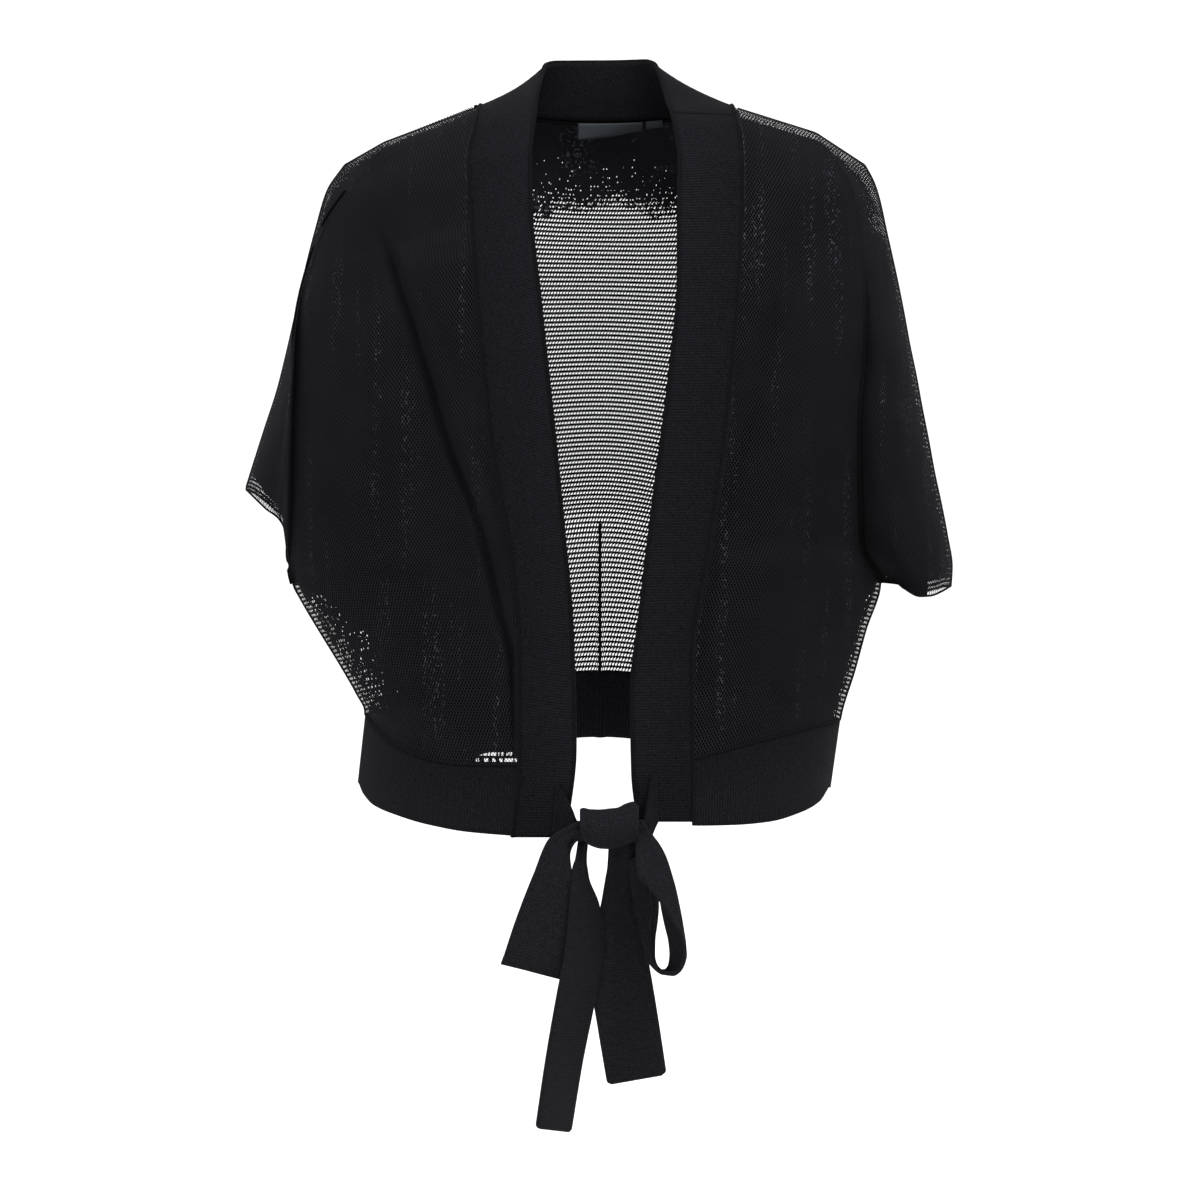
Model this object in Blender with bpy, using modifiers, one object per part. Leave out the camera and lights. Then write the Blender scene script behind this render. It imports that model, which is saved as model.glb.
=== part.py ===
"""Short open-front knitted bolero with batwing sleeves, rib bands and a tie tied in a bow.

It has the hollow form of a worn garment. +X is the wearer's left, the wearer faces -Y, and +Z is up.
The origin lies between the two shoulder points, where the shoulders carry the garment.
Sizes below are in millimetres and are turned to metres where the meshes are made.
"""

import bpy
import numpy as np

MM = 0.001
LEFT, RIGHT = 1, -1
FRONT, BACK = -1, 1

# Thickness of the mesh knit, of the rib bands and of the label cloth
NET = 1.8
RIB = 2.4
LABEL = 0.6
# Space left at a seam, on each side of it
SEAM = 0.3
# Straight run of a piece before its seam
LIP = 2.5
# Width of the hem band
HEM_WIDTH = 52.0

# Outlines were measured in the plane of the side seams, from this far away and this far below the origin
EYE_AWAY = 2400.0
EYE_DOWN = 182.0

# Drop over which the cloth rounds from the shoulder seam to the chest or back
ROUND_DROP = 55.0
# Shares of the panel's height where that rounding ends and where the underarm lies
ROUND_SHARE = 0.22
UNDERARM_SHARE = 0.74
# Where the armpit line starts on the shoulder
SHOULDER_MID = 162.0
# Back neck: half its width, its centre, how far back it runs and how low it lies
NECK_HALF, NECK_MIDDLE, NECK_BACK, NECK_DROP = 96.5, 4.5, 61.0, 8.0

# drop, x of the seam between front panel and front band
BAND_SEAM = {
    LEFT: [
        (0, 101), (20, 107), (47, 109), (125, 106), (243, 96), (335, 83), (414, 71), (499, 72), (560, 71),
    ],
    RIGHT: [
        (0, 92), (43, 101), (67, 99), (145, 94), (255, 83), (343, 68), (402, 63), (503, 63), (560, 69),
    ],
}
# drop, x of the opening edge of the front band
BAND_EDGE = {
    LEFT: [
        (0, 50), (47, 59), (125, 59), (204, 52), (291, 41), (375, 31), (443, 24), (503, 25), (560, 33),
    ],
    RIGHT: [
        (0, 44), (33, 51), (67, 52), (145, 45), (240, 35), (323, 27), (395, 21), (483, 19), (560, 28),
    ],
}
# drop, x of the armpit line down to the underarm and of the side seam below it
ARMPIT = {
    LEFT: [
        (19, 162), (60, 190), (110, 199), (169, 201), (240, 197), (327, 199),
        (357, 213), (394, 202), (424, 194), (463, 183), (520, 178),
    ],
    RIGHT: [
        (26, 162), (100, 213), (170, 230), (257, 234), (311, 235), (343, 236),
        (359, 233), (371, 227), (395, 213), (419, 198.5), (443, 185), (456, 179), (520, 184),
    ],
}
# drop, x of the overarm seam
OVERARM = {
    LEFT: [
        (43, 199), (56, 206), (68, 210), (92, 215.5), (129, 224), (153, 229), (177, 233.6), (201, 238.8),
        (225, 243.4), (250, 248.6), (274, 253.2), (298, 258.6), (322, 263.4), (346, 267.2), (360, 266.5),
    ],
    RIGHT: [
        (43, 192), (62, 205), (91, 214), (121, 222), (151, 229), (181, 236),
        (212, 244), (242, 254), (285, 268),
    ],
}
# drop, depth of the armpit line before the side seam's plane
ARMPIT_DEPTH = {
    LEFT: [
        (19, 30), (60, 42), (110, 50), (169, 52), (219, 50), (290, 38), (340, 16), (357, 0.5), (520, 0.5),
    ],
    RIGHT: [
        (19, 30), (60, 40), (110, 46), (169, 48), (219, 46), (290, 36), (340, 16), (357, 0.5), (520, 0.5),
    ],
}
# drop, half the sleeve's depth
SLEEVE_DEPTH = [(43, 34), (100, 36), (200, 40), (300, 56), (360, 66)]
# drop, depth of the chest and of the back
CHEST = [(0, 74), (60, 80), (120, 96), (200, 104), (300, 102), (400, 101), (520, 104)]
SHOULDER_BLADES = [(0, 84), (60, 92), (120, 102), (200, 104), (300, 99), (400, 99), (520, 104)]
# How square the body's section is, and the share of it that is used up to the armpit line
SQUARENESS, REACH = 2.35, 0.985
# Share of the sleeve's round that is turned in at the armpit
TUCK = 0.13
# Drops between which the armpit fold sets in; above them body and sleeve are one round
FOLD_START, FOLD_FULL = 95.0, 190.0
# Drop of the panel's bottom edge at the band or centre back, and at the side seam
HEM_AT_BAND = {LEFT: 492.0, RIGHT: 497.0}
HEM_AT_SIDE = {LEFT: 462.0, RIGHT: 458.0}
HEM_AT_BACK = 435.0
# How late the panel's bottom edge rises toward the side: power of the share from band to side
PANEL_BEND = {LEFT: 1.0, RIGHT: 4.0}
# x, drop of the front hem bands' bottom edge, and how far the hem bands flare at the side seam
HEM_BOTTOM = {
    LEFT: [(60, 543), (76, 544), (102, 543.5), (129, 541), (155, 533), (168, 525), (175, 514)],
    RIGHT: [(60, 552), (102, 548.5), (132, 543), (155, 536), (173, 528), (181, 519), (185, 510)],
}
HEM_FLARE = {LEFT: -7.0, RIGHT: 6.0}
# Drop of the shoulder seam at the armpit line, and of the overarm seam's upper end
SHOULDER_AT_ARMPIT, OVERARM_TOP = {LEFT: 19.0, RIGHT: 26.0}, 43.0
UNDERARM = {LEFT: 357.0, RIGHT: 359.0}
SLEEVE_END = {LEFT: 360.0, RIGHT: 287.0}
# Share from armpit line to overarm seam, and how much lower than straight the sleeve's edge hangs there
SLEEVE_DIP = {
    LEFT: [(0, 0), (0.25, 0.7), (0.42, 6.7), (0.55, 9.3), (0.72, 8.3), (0.88, 4.4), (1, 0)],
    RIGHT: [(0, 0), (0.1, -15), (0.2, -30), (0.6, -15), (1, 0)],
}

# x, drop, width and depth of each long fold in the front panels
FOLDS = {
    LEFT: [
        ([(60, 172), (138, 146), (208, 124), (284, 108), (360, 96)], 20.0, 8.0),
    ],
    RIGHT: [
        ([(60, 176), (145, 150), (208, 128), (324, 108), (384, 92), (444, 78)], 20.0, 11.0),
    ],
}

# The band round the neck: its seam to the back panel and its top edge, from the right shoulder to the left
#   seam x, y, z and edge x, y, z
NECK_BAND = [
    (-96.6, -67.5, -43, -51, -66, -36),
    (-91.8, -41, -13, -48, -44, -9),
    (-90.2, -14, -0.5, -46.5, -24, 8),
    (-89.5, 2, 2.0, -44, 0, 22),
    (-79.2, 26.5, 0.9, -42, 21, 33),
    (-64, 41.3, -1.5, -35, 38, 37),
    (-32, 55.3, -4.9, -18, 52, 38.5),
    (0, 59.8, -6.2, 0, 57, 39),
    (32.5, 57.3, -5.4, 18, 54, 39),
    (65, 46.3, -2.5, 34, 42, 38.5),
    (88.2, 27.5, 1.0, 42, 22, 34),
    (99, 8, 2.2, 45, 2, 24),
    (99.2, -14, -0.5, 49, -20, 6),
    (101.5, -39, -13, 54, -44, -12),
    (104.2, -67, -43, 58, -62, -38),
]
# Where along that table the band's own seam lies, over the left shoulder
BAND_JOIN = 12.7

# The bow, all in the same measuring plane: edge one x, z, edge two x, z, and the depth y of each edge
LOOP_RIGHT = [
    (4, -538.9, 4, -555.1, -121.7, -121.7),
    (-9, -540, -9, -554, -121.6, -121.6),
    (-17, -541.5, -17, -552.5, -121.8, -121.7),
    (-38, -553, -25, -561, -126, -121),
    (-51, -582, -21.3, -586, -127, -119.6),
    (-65, -618, -23.2, -628, -125, -119),
    (-74, -645, -26.5, -658, -121, -117.5),
    (-76, -650, -27, -663, -118, -115),
    (-74, -646, -26, -659, -113, -112),
    (-64, -619, -23, -629, -111, -110),
    (-50, -585, -20.5, -590, -112, -111),
    (-33, -559, -23, -566, -118, -117),
    (-17, -544, -17, -555, -119, -119),
    (-9, -538.9, -9, -555.1, -119, -119),
    (4, -538.9, 4, -555.1, -119, -119),
]
# This loop is creased lengthwise: front edge x, z, crease x, z, back edge x, z, and the depth y of the three
LOOP_LEFT = [
    (10, -555, 10, -547, 10, -539, -121.6, -121.6, -121.6),
    (23, -554, 23, -547, 23, -539.5, -121.6, -121.6, -121.6),
    (32.5, -554, 33, -547, 33, -540, -122, -121.8, -121.6),
    (32, -568, 41, -553, 36, -551, -131, -127, -121.5),
    (31.5, -582, 50.5, -566.5, 40, -566, -138, -130, -121),
    (38, -592, 57, -585.5, 44, -585, -141, -132, -120),
    (46, -602, 61.3, -605, 47, -605, -142, -132, -119.5),
    (54, -614, 64.2, -622.5, 50, -620, -141, -131, -118.5),
    (61, -626, 65.7, -637, 53, -632.5, -139, -129, -117),
    (65, -640, 65.7, -645, 54, -643, -136, -127, -115),
    (63, -651, 62.3, -655, 53, -651.5, -132, -125, -112.5),
    (57.5, -657.5, 55.6, -659.4, 50, -655.5, -128, -121, -109.5),
    (50, -657.5, 48, -658.3, 47, -656, -124, -117, -107),
    (44.5, -654, 40.3, -652.6, 43.5, -652.6, -120, -113, -105),
    (40.6, -647, 35.5, -645.8, 41.5, -645, -117, -110, -103.5),
    (38.5, -634, 32.2, -633, 42, -632, -114, -107, -102.5),
    (38.2, -620.5, 29.1, -617, 44, -618.5, -112, -105.5, -102),
    (39.5, -609, 27, -600, 45, -605, -111.5, -105.5, -102),
    (38, -595.5, 26, -584, 43, -589.5, -112.5, -107, -103),
    (35, -581, 25.5, -572, 38, -575, -114.5, -111.5, -109),
    (36, -568, 33, -563, 38, -560, -118, -118.5, -118),
    (33, -555.5, 33, -549, 33, -542, -119, -119, -119),
    (21, -554.5, 21, -547, 21, -539.5, -119, -119, -119),
    (10, -555.1, 10, -547, 10, -538.9, -119, -119, -119),
]
TAIL_LONG = [
    (-11, -565.0, 3, -565.7, -118.5, -118.5),
    (-15, -578, -4, -582, -121, -111),
    (-22, -596, -1, -606, -125, -97),
    (-26, -641, 2, -634, -127, -90),
    (-32, -672, -4, -676, -127, -90),
    (-41, -724, -14, -727, -126, -89),
    (-49, -779, -23, -782, -125, -87),
]
TAIL_WIDE = [
    (7, -563.7, 21, -563.6, -113, -113),
    (6, -573, 22, -571, -108, -108),
    (4, -585, 23, -582, -101, -100),
    (0.9, -603, 27, -598, -91, -95),
    (-4, -625, 33, -622, -82, -94),
    (-6, -645, 36, -643, -78, -94),
    (-5, -676, 41, -672, -77, -93),
    (-1.5, -700, 45, -697, -76, -93),
    (6, -745, 51, -737, -76, -93),
]
START_RIGHT = [
    (-33, -512, -36, -549, -103.9, -103.9),
    (-29, -517, -31, -551, -106, -106),
    (-22.5, -530, -23, -555.5, -112, -112),
    (-17.5, -540.6, -17.5, -554, -116, -116),
    (-8, -540.6, -8, -554, -116.3, -116.3),
    (4, -540.6, 4, -554, -116.3, -116.3),
]
START_LEFT = [
    (42, -504, 44, -541, -102.9, -102.9),
    (39.5, -510, 41, -547, -105.5, -105.5),
    (36, -528, 37, -554.5, -112, -112),
    (31.5, -540.6, 31.5, -554, -116, -116),
    (22, -540.6, 22, -554, -116.3, -116.3),
    (10, -540.6, 10, -554, -116.3, -116.3),
]
# The bare label and the size tab beside it: place from left to right along the back neck seam,
# top and bottom z, and how far the bottom swings back
LABEL_ROWS = [
    (-17, -7.4, -20.0, 0.0),
    (8, -7.6, -18.5, 2.0),
    (33, -7.0, -16.0, 5.0),
]
TAB_ROWS = [
    (35, -6.8, -13.0, 2.0),
    (48, -5.8, -11.5, 2.5),
]
# Rows of the panels' grids above and below the underarm, and columns of a sleeve
UPPER_ROWS, LOWER_ROWS, SLEEVE_COLUMNS = 24, 7, 7
# Knot: its two ends, its middle (y, z), half its depth and height, and the wall round its hollow
KNOT_X = (-15.5, 29.5)
KNOT_MIDDLE = (-119.0, -547.0)
KNOT_HALF = (13.5, 18.0)
KNOT_WALL = 6.0


def line(rows):
    """A smooth line through (place, value) rows that never swings past its points."""
    at = np.array([row[0] for row in rows], float)
    value = np.array([row[1] for row in rows], float)
    step = np.diff(at)
    rise = np.diff(value) / step
    slope = np.zeros(len(at))
    slope[0], slope[-1] = rise[0], rise[-1]
    same = rise[:-1] * rise[1:] > 0
    both = np.where(same, rise[:-1] + rise[1:], 1.0)
    slope[1:-1] = np.where(same, 2 * rise[:-1] * rise[1:] / both, 0.0)

    def read(place):
        place = np.clip(place, at[0], at[-1])
        i = np.clip(np.searchsorted(at, place) - 1, 0, len(at) - 2)
        t = (place - at[i]) / step[i]
        start = (1 + 2 * t) * (1 - t) ** 2 * value[i] + t * (1 - t) ** 2 * step[i] * slope[i]
        end = t**2 * (3 - 2 * t) * value[i + 1] + t**2 * (t - 1) * step[i] * slope[i + 1]
        return start + end

    return read


def true_place(x, y, z):
    """Moves a point seen at x, z in the measuring plane to where it lies at depth y."""
    near = -y / EYE_AWAY
    return np.stack([x * (1 - near), y, z + (-EYE_DOWN - z) * near], -1)


def body_round(share):
    """Depth across the body's section, 1 at its middle and 0 at the armpit line."""
    low = (1 - REACH**SQUARENESS) ** (1 / SQUARENESS)
    full = (1 - (REACH * np.clip(np.abs(share), 0, 1)) ** SQUARENESS) ** (1 / SQUARENESS)
    return (full - low) / (1 - low)


def body_depth(side, hand, x, drop):
    depth = line(CHEST if side == FRONT else SHOULDER_BLADES)(drop)
    armpit = line(ARMPIT_DEPTH[hand])(drop)
    folded = armpit + (depth - armpit) * body_round(x / line(ARMPIT[hand])(drop))
    return join_fold(side, hand, x, drop, folded)


def join_fold(side, hand, x, drop, folded):
    """Turns one round over body and sleeve into the folded section between FOLD_START and FOLD_FULL."""
    share = np.clip((drop - FOLD_START) / (FOLD_FULL - FOLD_START), 0, 1)
    share = share**2 * (3 - 2 * share)
    depth = line(CHEST if side == FRONT else SHOULDER_BLADES)(drop)
    across = np.clip(x / line(OVERARM[hand])(drop), 0, 1)
    one_round = depth * (1 - across**SQUARENESS) ** (1 / SQUARENESS)
    return one_round + (folded - one_round) * share


def fold_depth(hand, x, drop):
    """How far the long folds sink the front cloth."""
    sunk = np.zeros_like(x)
    for path, width, depth in FOLDS[hand]:
        off = (x - line(path)(drop)) / width
        start = np.clip((drop - path[0][0]) / 60.0, 0, 1)
        end = np.clip((path[-1][0] + 40.0 - drop) / 60.0, 0, 1)
        sunk += depth * np.exp(-(off**2)) * start * end
    return sunk


def rows_of(top, underarm, bottom, v):
    """Drop of a guide line at share v of the panel's height: a round, then two straight runs."""
    round_end = top + ROUND_DROP
    angle = np.clip(v / ROUND_SHARE, 0, 1) * np.pi / 2
    upper = np.clip((v - ROUND_SHARE) / (UNDERARM_SHARE - ROUND_SHARE), 0, 1)
    lower = np.clip((v - UNDERARM_SHARE) / (1 - UNDERARM_SHARE), 0, 1)
    drop = top + ROUND_DROP * (1 - np.cos(angle))
    return drop + (underarm - round_end) * upper + (bottom - underarm) * lower, np.sin(angle)


def cloth(side, hand, u, v):
    """The worn cloth: u is 0 at band seam or centre back, 1 at the armpit line, 2 at the overarm seam."""
    body, arm = np.clip(u, 0, 1), np.clip(u - 1, 0, 1)
    if side == FRONT:
        slant = body ** (1 + (PANEL_BEND[hand] - 1) * np.clip(2 * v - 1, 0, 1) ** 2)
        inner_top, inner_bottom = 0.0, HEM_AT_BAND[hand]
        neck_y = 0.0
    else:
        across = body * SHOULDER_MID
        share = np.clip(np.abs(across - hand * NECK_MIDDLE) / NECK_HALF, 0, 1)
        neck_y = NECK_BACK * np.sqrt(1 - share**2)
        inner_top, inner_bottom = NECK_DROP * (1 - share**2), HEM_AT_BACK
        slant = body**2 * (3 - 2 * body)
    inner, lift = rows_of(inner_top, 0.71 * inner_bottom, inner_bottom, v)
    armpit, _ = rows_of(SHOULDER_AT_ARMPIT[hand], UNDERARM[hand], HEM_AT_SIDE[hand], v)
    over, _ = rows_of(OVERARM_TOP, SLEEVE_END[hand], SLEEVE_END[hand], v)
    drop = inner + (armpit - inner) * slant
    if side == BACK:
        outer = np.clip((across - NECK_HALF) / (SHOULDER_MID - NECK_HALF), 0, 1)
        shoulder, _ = rows_of(SHOULDER_AT_ARMPIT[hand] * outer, UNDERARM[hand], HEM_AT_SIDE[hand], v)
        top_share = np.clip(1 - v / UNDERARM_SHARE, 0, 1)
        drop = drop + (np.where(across > NECK_HALF, shoulder, inner) - drop) * top_share
    x_inner = line(BAND_SEAM[hand])(inner) if side == FRONT else 0.0
    x_armpit = line(ARMPIT[hand])(armpit)
    x_over = line(OVERARM[hand])(over)
    turn = (TUCK + (1 - TUCK) * arm) * np.pi
    out = (np.cos(TUCK * np.pi) - np.cos(turn)) / (np.cos(TUCK * np.pi) + 1)
    x = x_inner + (x_armpit - x_inner) * body + (x_over - x_armpit) * out
    dip = line(SLEEVE_DIP[hand])(out) * np.clip(v / UNDERARM_SHARE, 0, 1) ** 5
    drop = np.where(u > 1, armpit + (over - armpit) * out + dip, drop)
    armpit_depth = line(ARMPIT_DEPTH[hand])(armpit)
    sleeve = armpit_depth * (1 + np.cos(turn)) / (1 + np.cos(TUCK * np.pi))
    sleeve = sleeve + line(SLEEVE_DEPTH)(over) * (np.sin(turn) - np.sin(TUCK * np.pi) * (1 - arm))
    depth = np.where(u > 1, join_fold(side, hand, x, drop, sleeve), body_depth(side, hand, x, drop))
    if side == FRONT:
        depth = depth - np.where(u > 1, 0.0, fold_depth(hand, x, drop)) * lift
    y = neck_y + (depth - neck_y) * lift
    y = side * np.maximum(y, SEAM + LIP)
    if side == FRONT:
        return true_place(hand * x, y, -drop)
    return np.stack([hand * x, y, -drop], -1)


def along(points, count, axis):
    """Spaces points evenly by length along one axis of a grid."""
    points = np.moveaxis(points, axis, 0)
    steps = np.linalg.norm(np.diff(points, axis=0), axis=-1)
    length = np.concatenate([np.zeros_like(steps[:1]), np.cumsum(steps, 0)])
    flat = points.reshape(len(points), -1, 3)
    flat_length = length.reshape(len(points), -1)
    out = np.empty((count + 1, flat.shape[1], 3))
    for column in range(flat.shape[1]):
        at = np.linspace(0, flat_length[-1, column], count + 1)
        for part in range(3):
            out[:, column, part] = np.interp(at, flat_length[:, column], flat[:, column, part])
    return np.moveaxis(out.reshape((count + 1,) + points.shape[1:]), 0, axis)


def patch(side, hand, u_span, v_span, columns, rows):
    u, v = np.meshgrid(np.linspace(*u_span, 90), np.linspace(*v_span, 160))
    points = cloth(side, hand, u, v)
    return along(along(points, rows, 0), columns, 1)


def half_panel(side, hand, body_spans):
    """Grid of half a panel, from its inner line to the overarm seam, with NaN where no cloth is."""
    grids = []
    for u_span, columns in body_spans:
        upper = patch(side, hand, u_span, (0, UNDERARM_SHARE), columns, UPPER_ROWS)
        lower = patch(side, hand, u_span, (UNDERARM_SHARE, 1), columns, LOWER_ROWS)
        grids.append(np.concatenate([upper, lower[1:]], 0))
    sleeve = patch(side, hand, (1, 2), (0, UNDERARM_SHARE), SLEEVE_COLUMNS, UPPER_ROWS)
    empty = np.full((LOWER_ROWS,) + sleeve.shape[1:], np.nan)
    grids.append(np.concatenate([sleeve, empty], 0))
    for left, right in zip(grids, grids[1:]):
        # The armpit line is one line, so both patches read the first one's points
        right[:, 0] = np.where(np.isnan(right[:, 0]), right[:, 0], left[:, -1])
    joined = np.concatenate([grids[0]] + [grid[:, 1:] for grid in grids[1:]], 1)
    return with_lips(joined, side, grids[0].shape[1] - 1 + sum(g.shape[1] - 1 for g in grids[1:-1]))


def with_lips(grid, side, armpit):
    """Adds a short straight run before the shoulder, overarm and side seams, where two panels butt."""
    top = grid[:1].copy()
    on_shoulder = np.abs(top[..., 1]) < LIP + 2 * SEAM
    top[..., 1] = np.where(on_shoulder, side * SEAM, top[..., 1])
    slope = grid[:1] - grid[1:2]
    slope = slope / np.linalg.norm(slope, axis=-1, keepdims=True) * LIP
    top = np.where(on_shoulder[..., None], top, grid[:1] + slope)
    grid = np.concatenate([top, grid], 0)
    over = grid[:, -1:].copy()
    over[..., 1] = side * SEAM
    grid = np.concatenate([grid, over], 1)
    low = UPPER_ROWS + 2
    grid[low:, armpit + 1] = grid[low:, armpit]
    grid[low:, armpit + 1, 1] = side * SEAM
    return grid


def material(name, colour, roughness):
    made = bpy.data.materials.new(name)
    made.use_nodes = True
    shader = made.node_tree.nodes["Principled BSDF"]
    shader.inputs["Base Color"].default_value = (*colour, 1)
    shader.inputs["Roughness"].default_value = roughness
    shader.inputs["Metallic"].default_value = 0.0
    return made


def shell(name, grid, wall, outward, colour, inwards=True):
    """One piece of cloth: a grid as an open surface, given its wall by Solidify."""
    rows, columns = grid.shape[:2]
    cloth_here = ~np.isnan(grid[..., 0])
    index = np.cumsum(cloth_here).reshape(rows, columns) - 1
    a, b = index[:-1, :-1], index[:-1, 1:]
    c, d = index[1:, 1:], index[1:, :-1]
    whole = cloth_here[:-1, :-1] & cloth_here[:-1, 1:] & cloth_here[1:, 1:] & cloth_here[1:, :-1]
    quads = np.stack([a[whole], b[whole], c[whole], d[whole]], -1)
    corners = grid[cloth_here]
    p = corners[quads]
    normals = np.cross(p[:, 2] - p[:, 0], p[:, 3] - p[:, 1])
    if (normals * outward(p.mean(1))).sum() < 0:
        quads = quads[:, ::-1]
    mesh = bpy.data.meshes.new(name)
    mesh.from_pydata((corners * MM).tolist(), [], quads.tolist())
    mesh.shade_smooth()
    made = bpy.data.objects.new(name, mesh)
    COLLECTION.objects.link(made)
    solidify = made.modifiers.new("Wall", "SOLIDIFY")
    solidify.thickness = wall * MM
    solidify.offset = -1 if inwards else 0
    made.data.materials.append(material(name, colour, 0.85))
    return made


def away_from_axis(points):
    """Outward from the body's upright middle."""
    return points * [1, 1, 0] - np.array([4.5, 0, 0])


def toward_viewer(points):
    return np.tile([0.0, -1.0, 0.0], (len(points), 1))


def strip(rows, stations, columns):
    """A strip through rows of two edges, or of an edge, a crease and an edge, in stations of even length."""
    rows = np.array(rows, float)
    places = np.arange(len(rows))
    fine = np.linspace(0, len(rows) - 1, 12 * len(rows))
    guides = np.stack([line(list(zip(places, rows[:, i])))(fine) for i in range(rows.shape[1])], -1)
    guides = guides.reshape(len(fine), -1, 3)
    share = np.linspace(0, 1, columns + 1)[None, :-1, None]
    spans = []
    for i in range(guides.shape[1] - 1):
        spans.append(guides[:, i : i + 1] * (1 - share) + guides[:, i + 1 : i + 2] * share)
    grid = np.concatenate(spans + [guides[:, -1:]], 1)
    return along(grid, stations, 0)


def tie_rows(table):
    """Bow rows, measured in the plane as x and z of each guide line, moved to their depths."""
    rows = np.array(table, float)
    count = rows.shape[1] // 3
    guides = []
    for i in range(count):
        guides.append(true_place(rows[:, 2 * i], rows[:, 2 * count + i], rows[:, 2 * i + 1]))
    return np.concatenate(guides, 1)


def front_band_rows(hand, drops):
    """Rows of the front band's two edges down the front."""
    drops = np.asarray(drops, float)
    seam_x = line(BAND_SEAM[hand])(drops) - 0.9
    edge_x = line(BAND_EDGE[hand])(drops)
    seam_y = -body_depth(FRONT, hand, seam_x, drops)
    edge_y = -body_depth(FRONT, hand, edge_x, drops)
    seam = true_place(hand * seam_x, seam_y, -drops)
    edge = true_place(hand * edge_x, edge_y, -drops)
    return np.concatenate([seam, edge], 1)


for old in list(bpy.data.objects):
    bpy.data.objects.remove(old)
COLLECTION = bpy.data.collections.new("bolero")
bpy.context.scene.collection.children.link(COLLECTION)

BLACK_NET = (0.010, 0.009, 0.011)
BLACK_RIB = (0.008, 0.0075, 0.009)
SLATE = (0.13, 0.14, 0.16)

# Back panel, from the left overarm seam to the right one
back_spans = [((0, NECK_HALF / SHOULDER_MID), 7), ((NECK_HALF / SHOULDER_MID, 1), 4)]
back_left = half_panel(BACK, LEFT, back_spans)
back_right = half_panel(BACK, RIGHT, back_spans)
back_grid = np.concatenate([back_right[:, ::-1], back_left[:, 1:]], 1)
shell("back_panel", back_grid, NET, away_from_axis, BLACK_NET)

# Front panels, each from its band seam to its overarm seam
front_grids = {}
for name, hand in (("front_left_panel", LEFT), ("front_right_panel", RIGHT)):
    front_grids[hand] = half_panel(FRONT, hand, [((0, 1), 8)])
    shell(name, front_grids[hand], NET, away_from_axis, BLACK_NET)

# Front bands: the right one runs on round the back neck to the left shoulder
down = {LEFT: np.linspace(75, 541, 20), RIGHT: np.linspace(75, 553, 20)}
neck = np.array(NECK_BAND, float)
places = np.arange(len(neck))
before = np.linspace(0, BAND_JOIN - 0.012, 40)
after = np.linspace(BAND_JOIN + 0.012, len(neck) - 1, 6)
neck_lines = [line(list(zip(places, neck[:, i]))) for i in range(6)]
round_neck = np.stack([read(before) for read in neck_lines], -1)
past_join = np.stack([read(after) for read in neck_lines], -1)
right_rows = np.concatenate([front_band_rows(RIGHT, down[RIGHT][::-1]), round_neck])
left_rows = np.concatenate([past_join, front_band_rows(LEFT, down[LEFT])])
band_right = strip(right_rows, 58, 3)
band_left = strip(left_rows, 36, 3)


def band_outward(points):
    """Away from the neck's middle: forward on the chest and back behind the neck."""
    out = points - np.array([4.5, 20.0, 0.0])
    return out * [1, 1, 0]


shell("band_right", band_right, RIB, band_outward, BLACK_RIB)
shell("band_left", band_left, RIB, band_outward, BLACK_RIB)


def hem_strip(grid, hand=None):
    """The hem band straight below a panel's bottom edge; at the front its inner end follows the band."""
    top = grid[-1]
    top = top[~np.isnan(top[:, 0])] + [0, 0, -2 * SEAM]
    share = np.linspace(0, 1, 4)[:, None, None]
    bottom = top + [0, 0, -HEM_WIDTH]
    side = np.where(top[:, 0] > 0, LEFT, RIGHT)
    flare = np.where(side == LEFT, HEM_FLARE[LEFT], HEM_FLARE[RIGHT])
    widest = np.abs(top[:, 0]).max()
    bottom[:, 0] += side * flare * np.clip((np.abs(top[:, 0]) - 60) / (widest - 60), 0, 1) ** 2
    if hand:
        near = -bottom[:, 1] / EYE_AWAY
        drop = line(HEM_BOTTOM[hand])(hand * bottom[:, 0] / (1 - near))
        drop[-2:] = HEM_AT_SIDE[hand] + HEM_WIDTH + 2 * SEAM
        bottom[:, 2] = -drop + (drop - EYE_DOWN) * near
    rows = top[None] * (1 - share) + bottom[None] * share
    if hand:
        seam = line(BAND_SEAM[hand])
        lean = seam(HEM_AT_BAND[hand] + HEM_WIDTH * share[..., 0]) - seam(HEM_AT_BAND[hand])
        reach = np.clip(1 - np.linalg.norm(top[:, :2] - top[0, :2], axis=1) / 60, 0, 1)
        rows[..., 0] += hand * (lean + 1.0 * share[..., 0]) * reach
    return rows


shell("hem_back", hem_strip(back_grid), RIB, away_from_axis, BLACK_RIB)
shell("hem_left", hem_strip(front_grids[LEFT], LEFT), RIB, away_from_axis, BLACK_RIB)
shell("hem_right", hem_strip(front_grids[RIGHT], RIGHT), RIB, away_from_axis, BLACK_RIB)

# The bow: two short starts, two loops and two tails, all led to the knot
for name, table, stations in (
    ("tie_start_right", START_RIGHT, 8),
    ("tie_start_left", START_LEFT, 8),
    ("bow_loop_right", LOOP_RIGHT, 30),
    ("bow_loop_left", LOOP_LEFT, 44),
    ("tail_long", TAIL_LONG, 16),
    ("tail_wide", TAIL_WIDE, 14),
):
    shell(name, strip(tie_rows(table), stations, 3), RIB, toward_viewer, BLACK_RIB, inwards=False)

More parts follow.
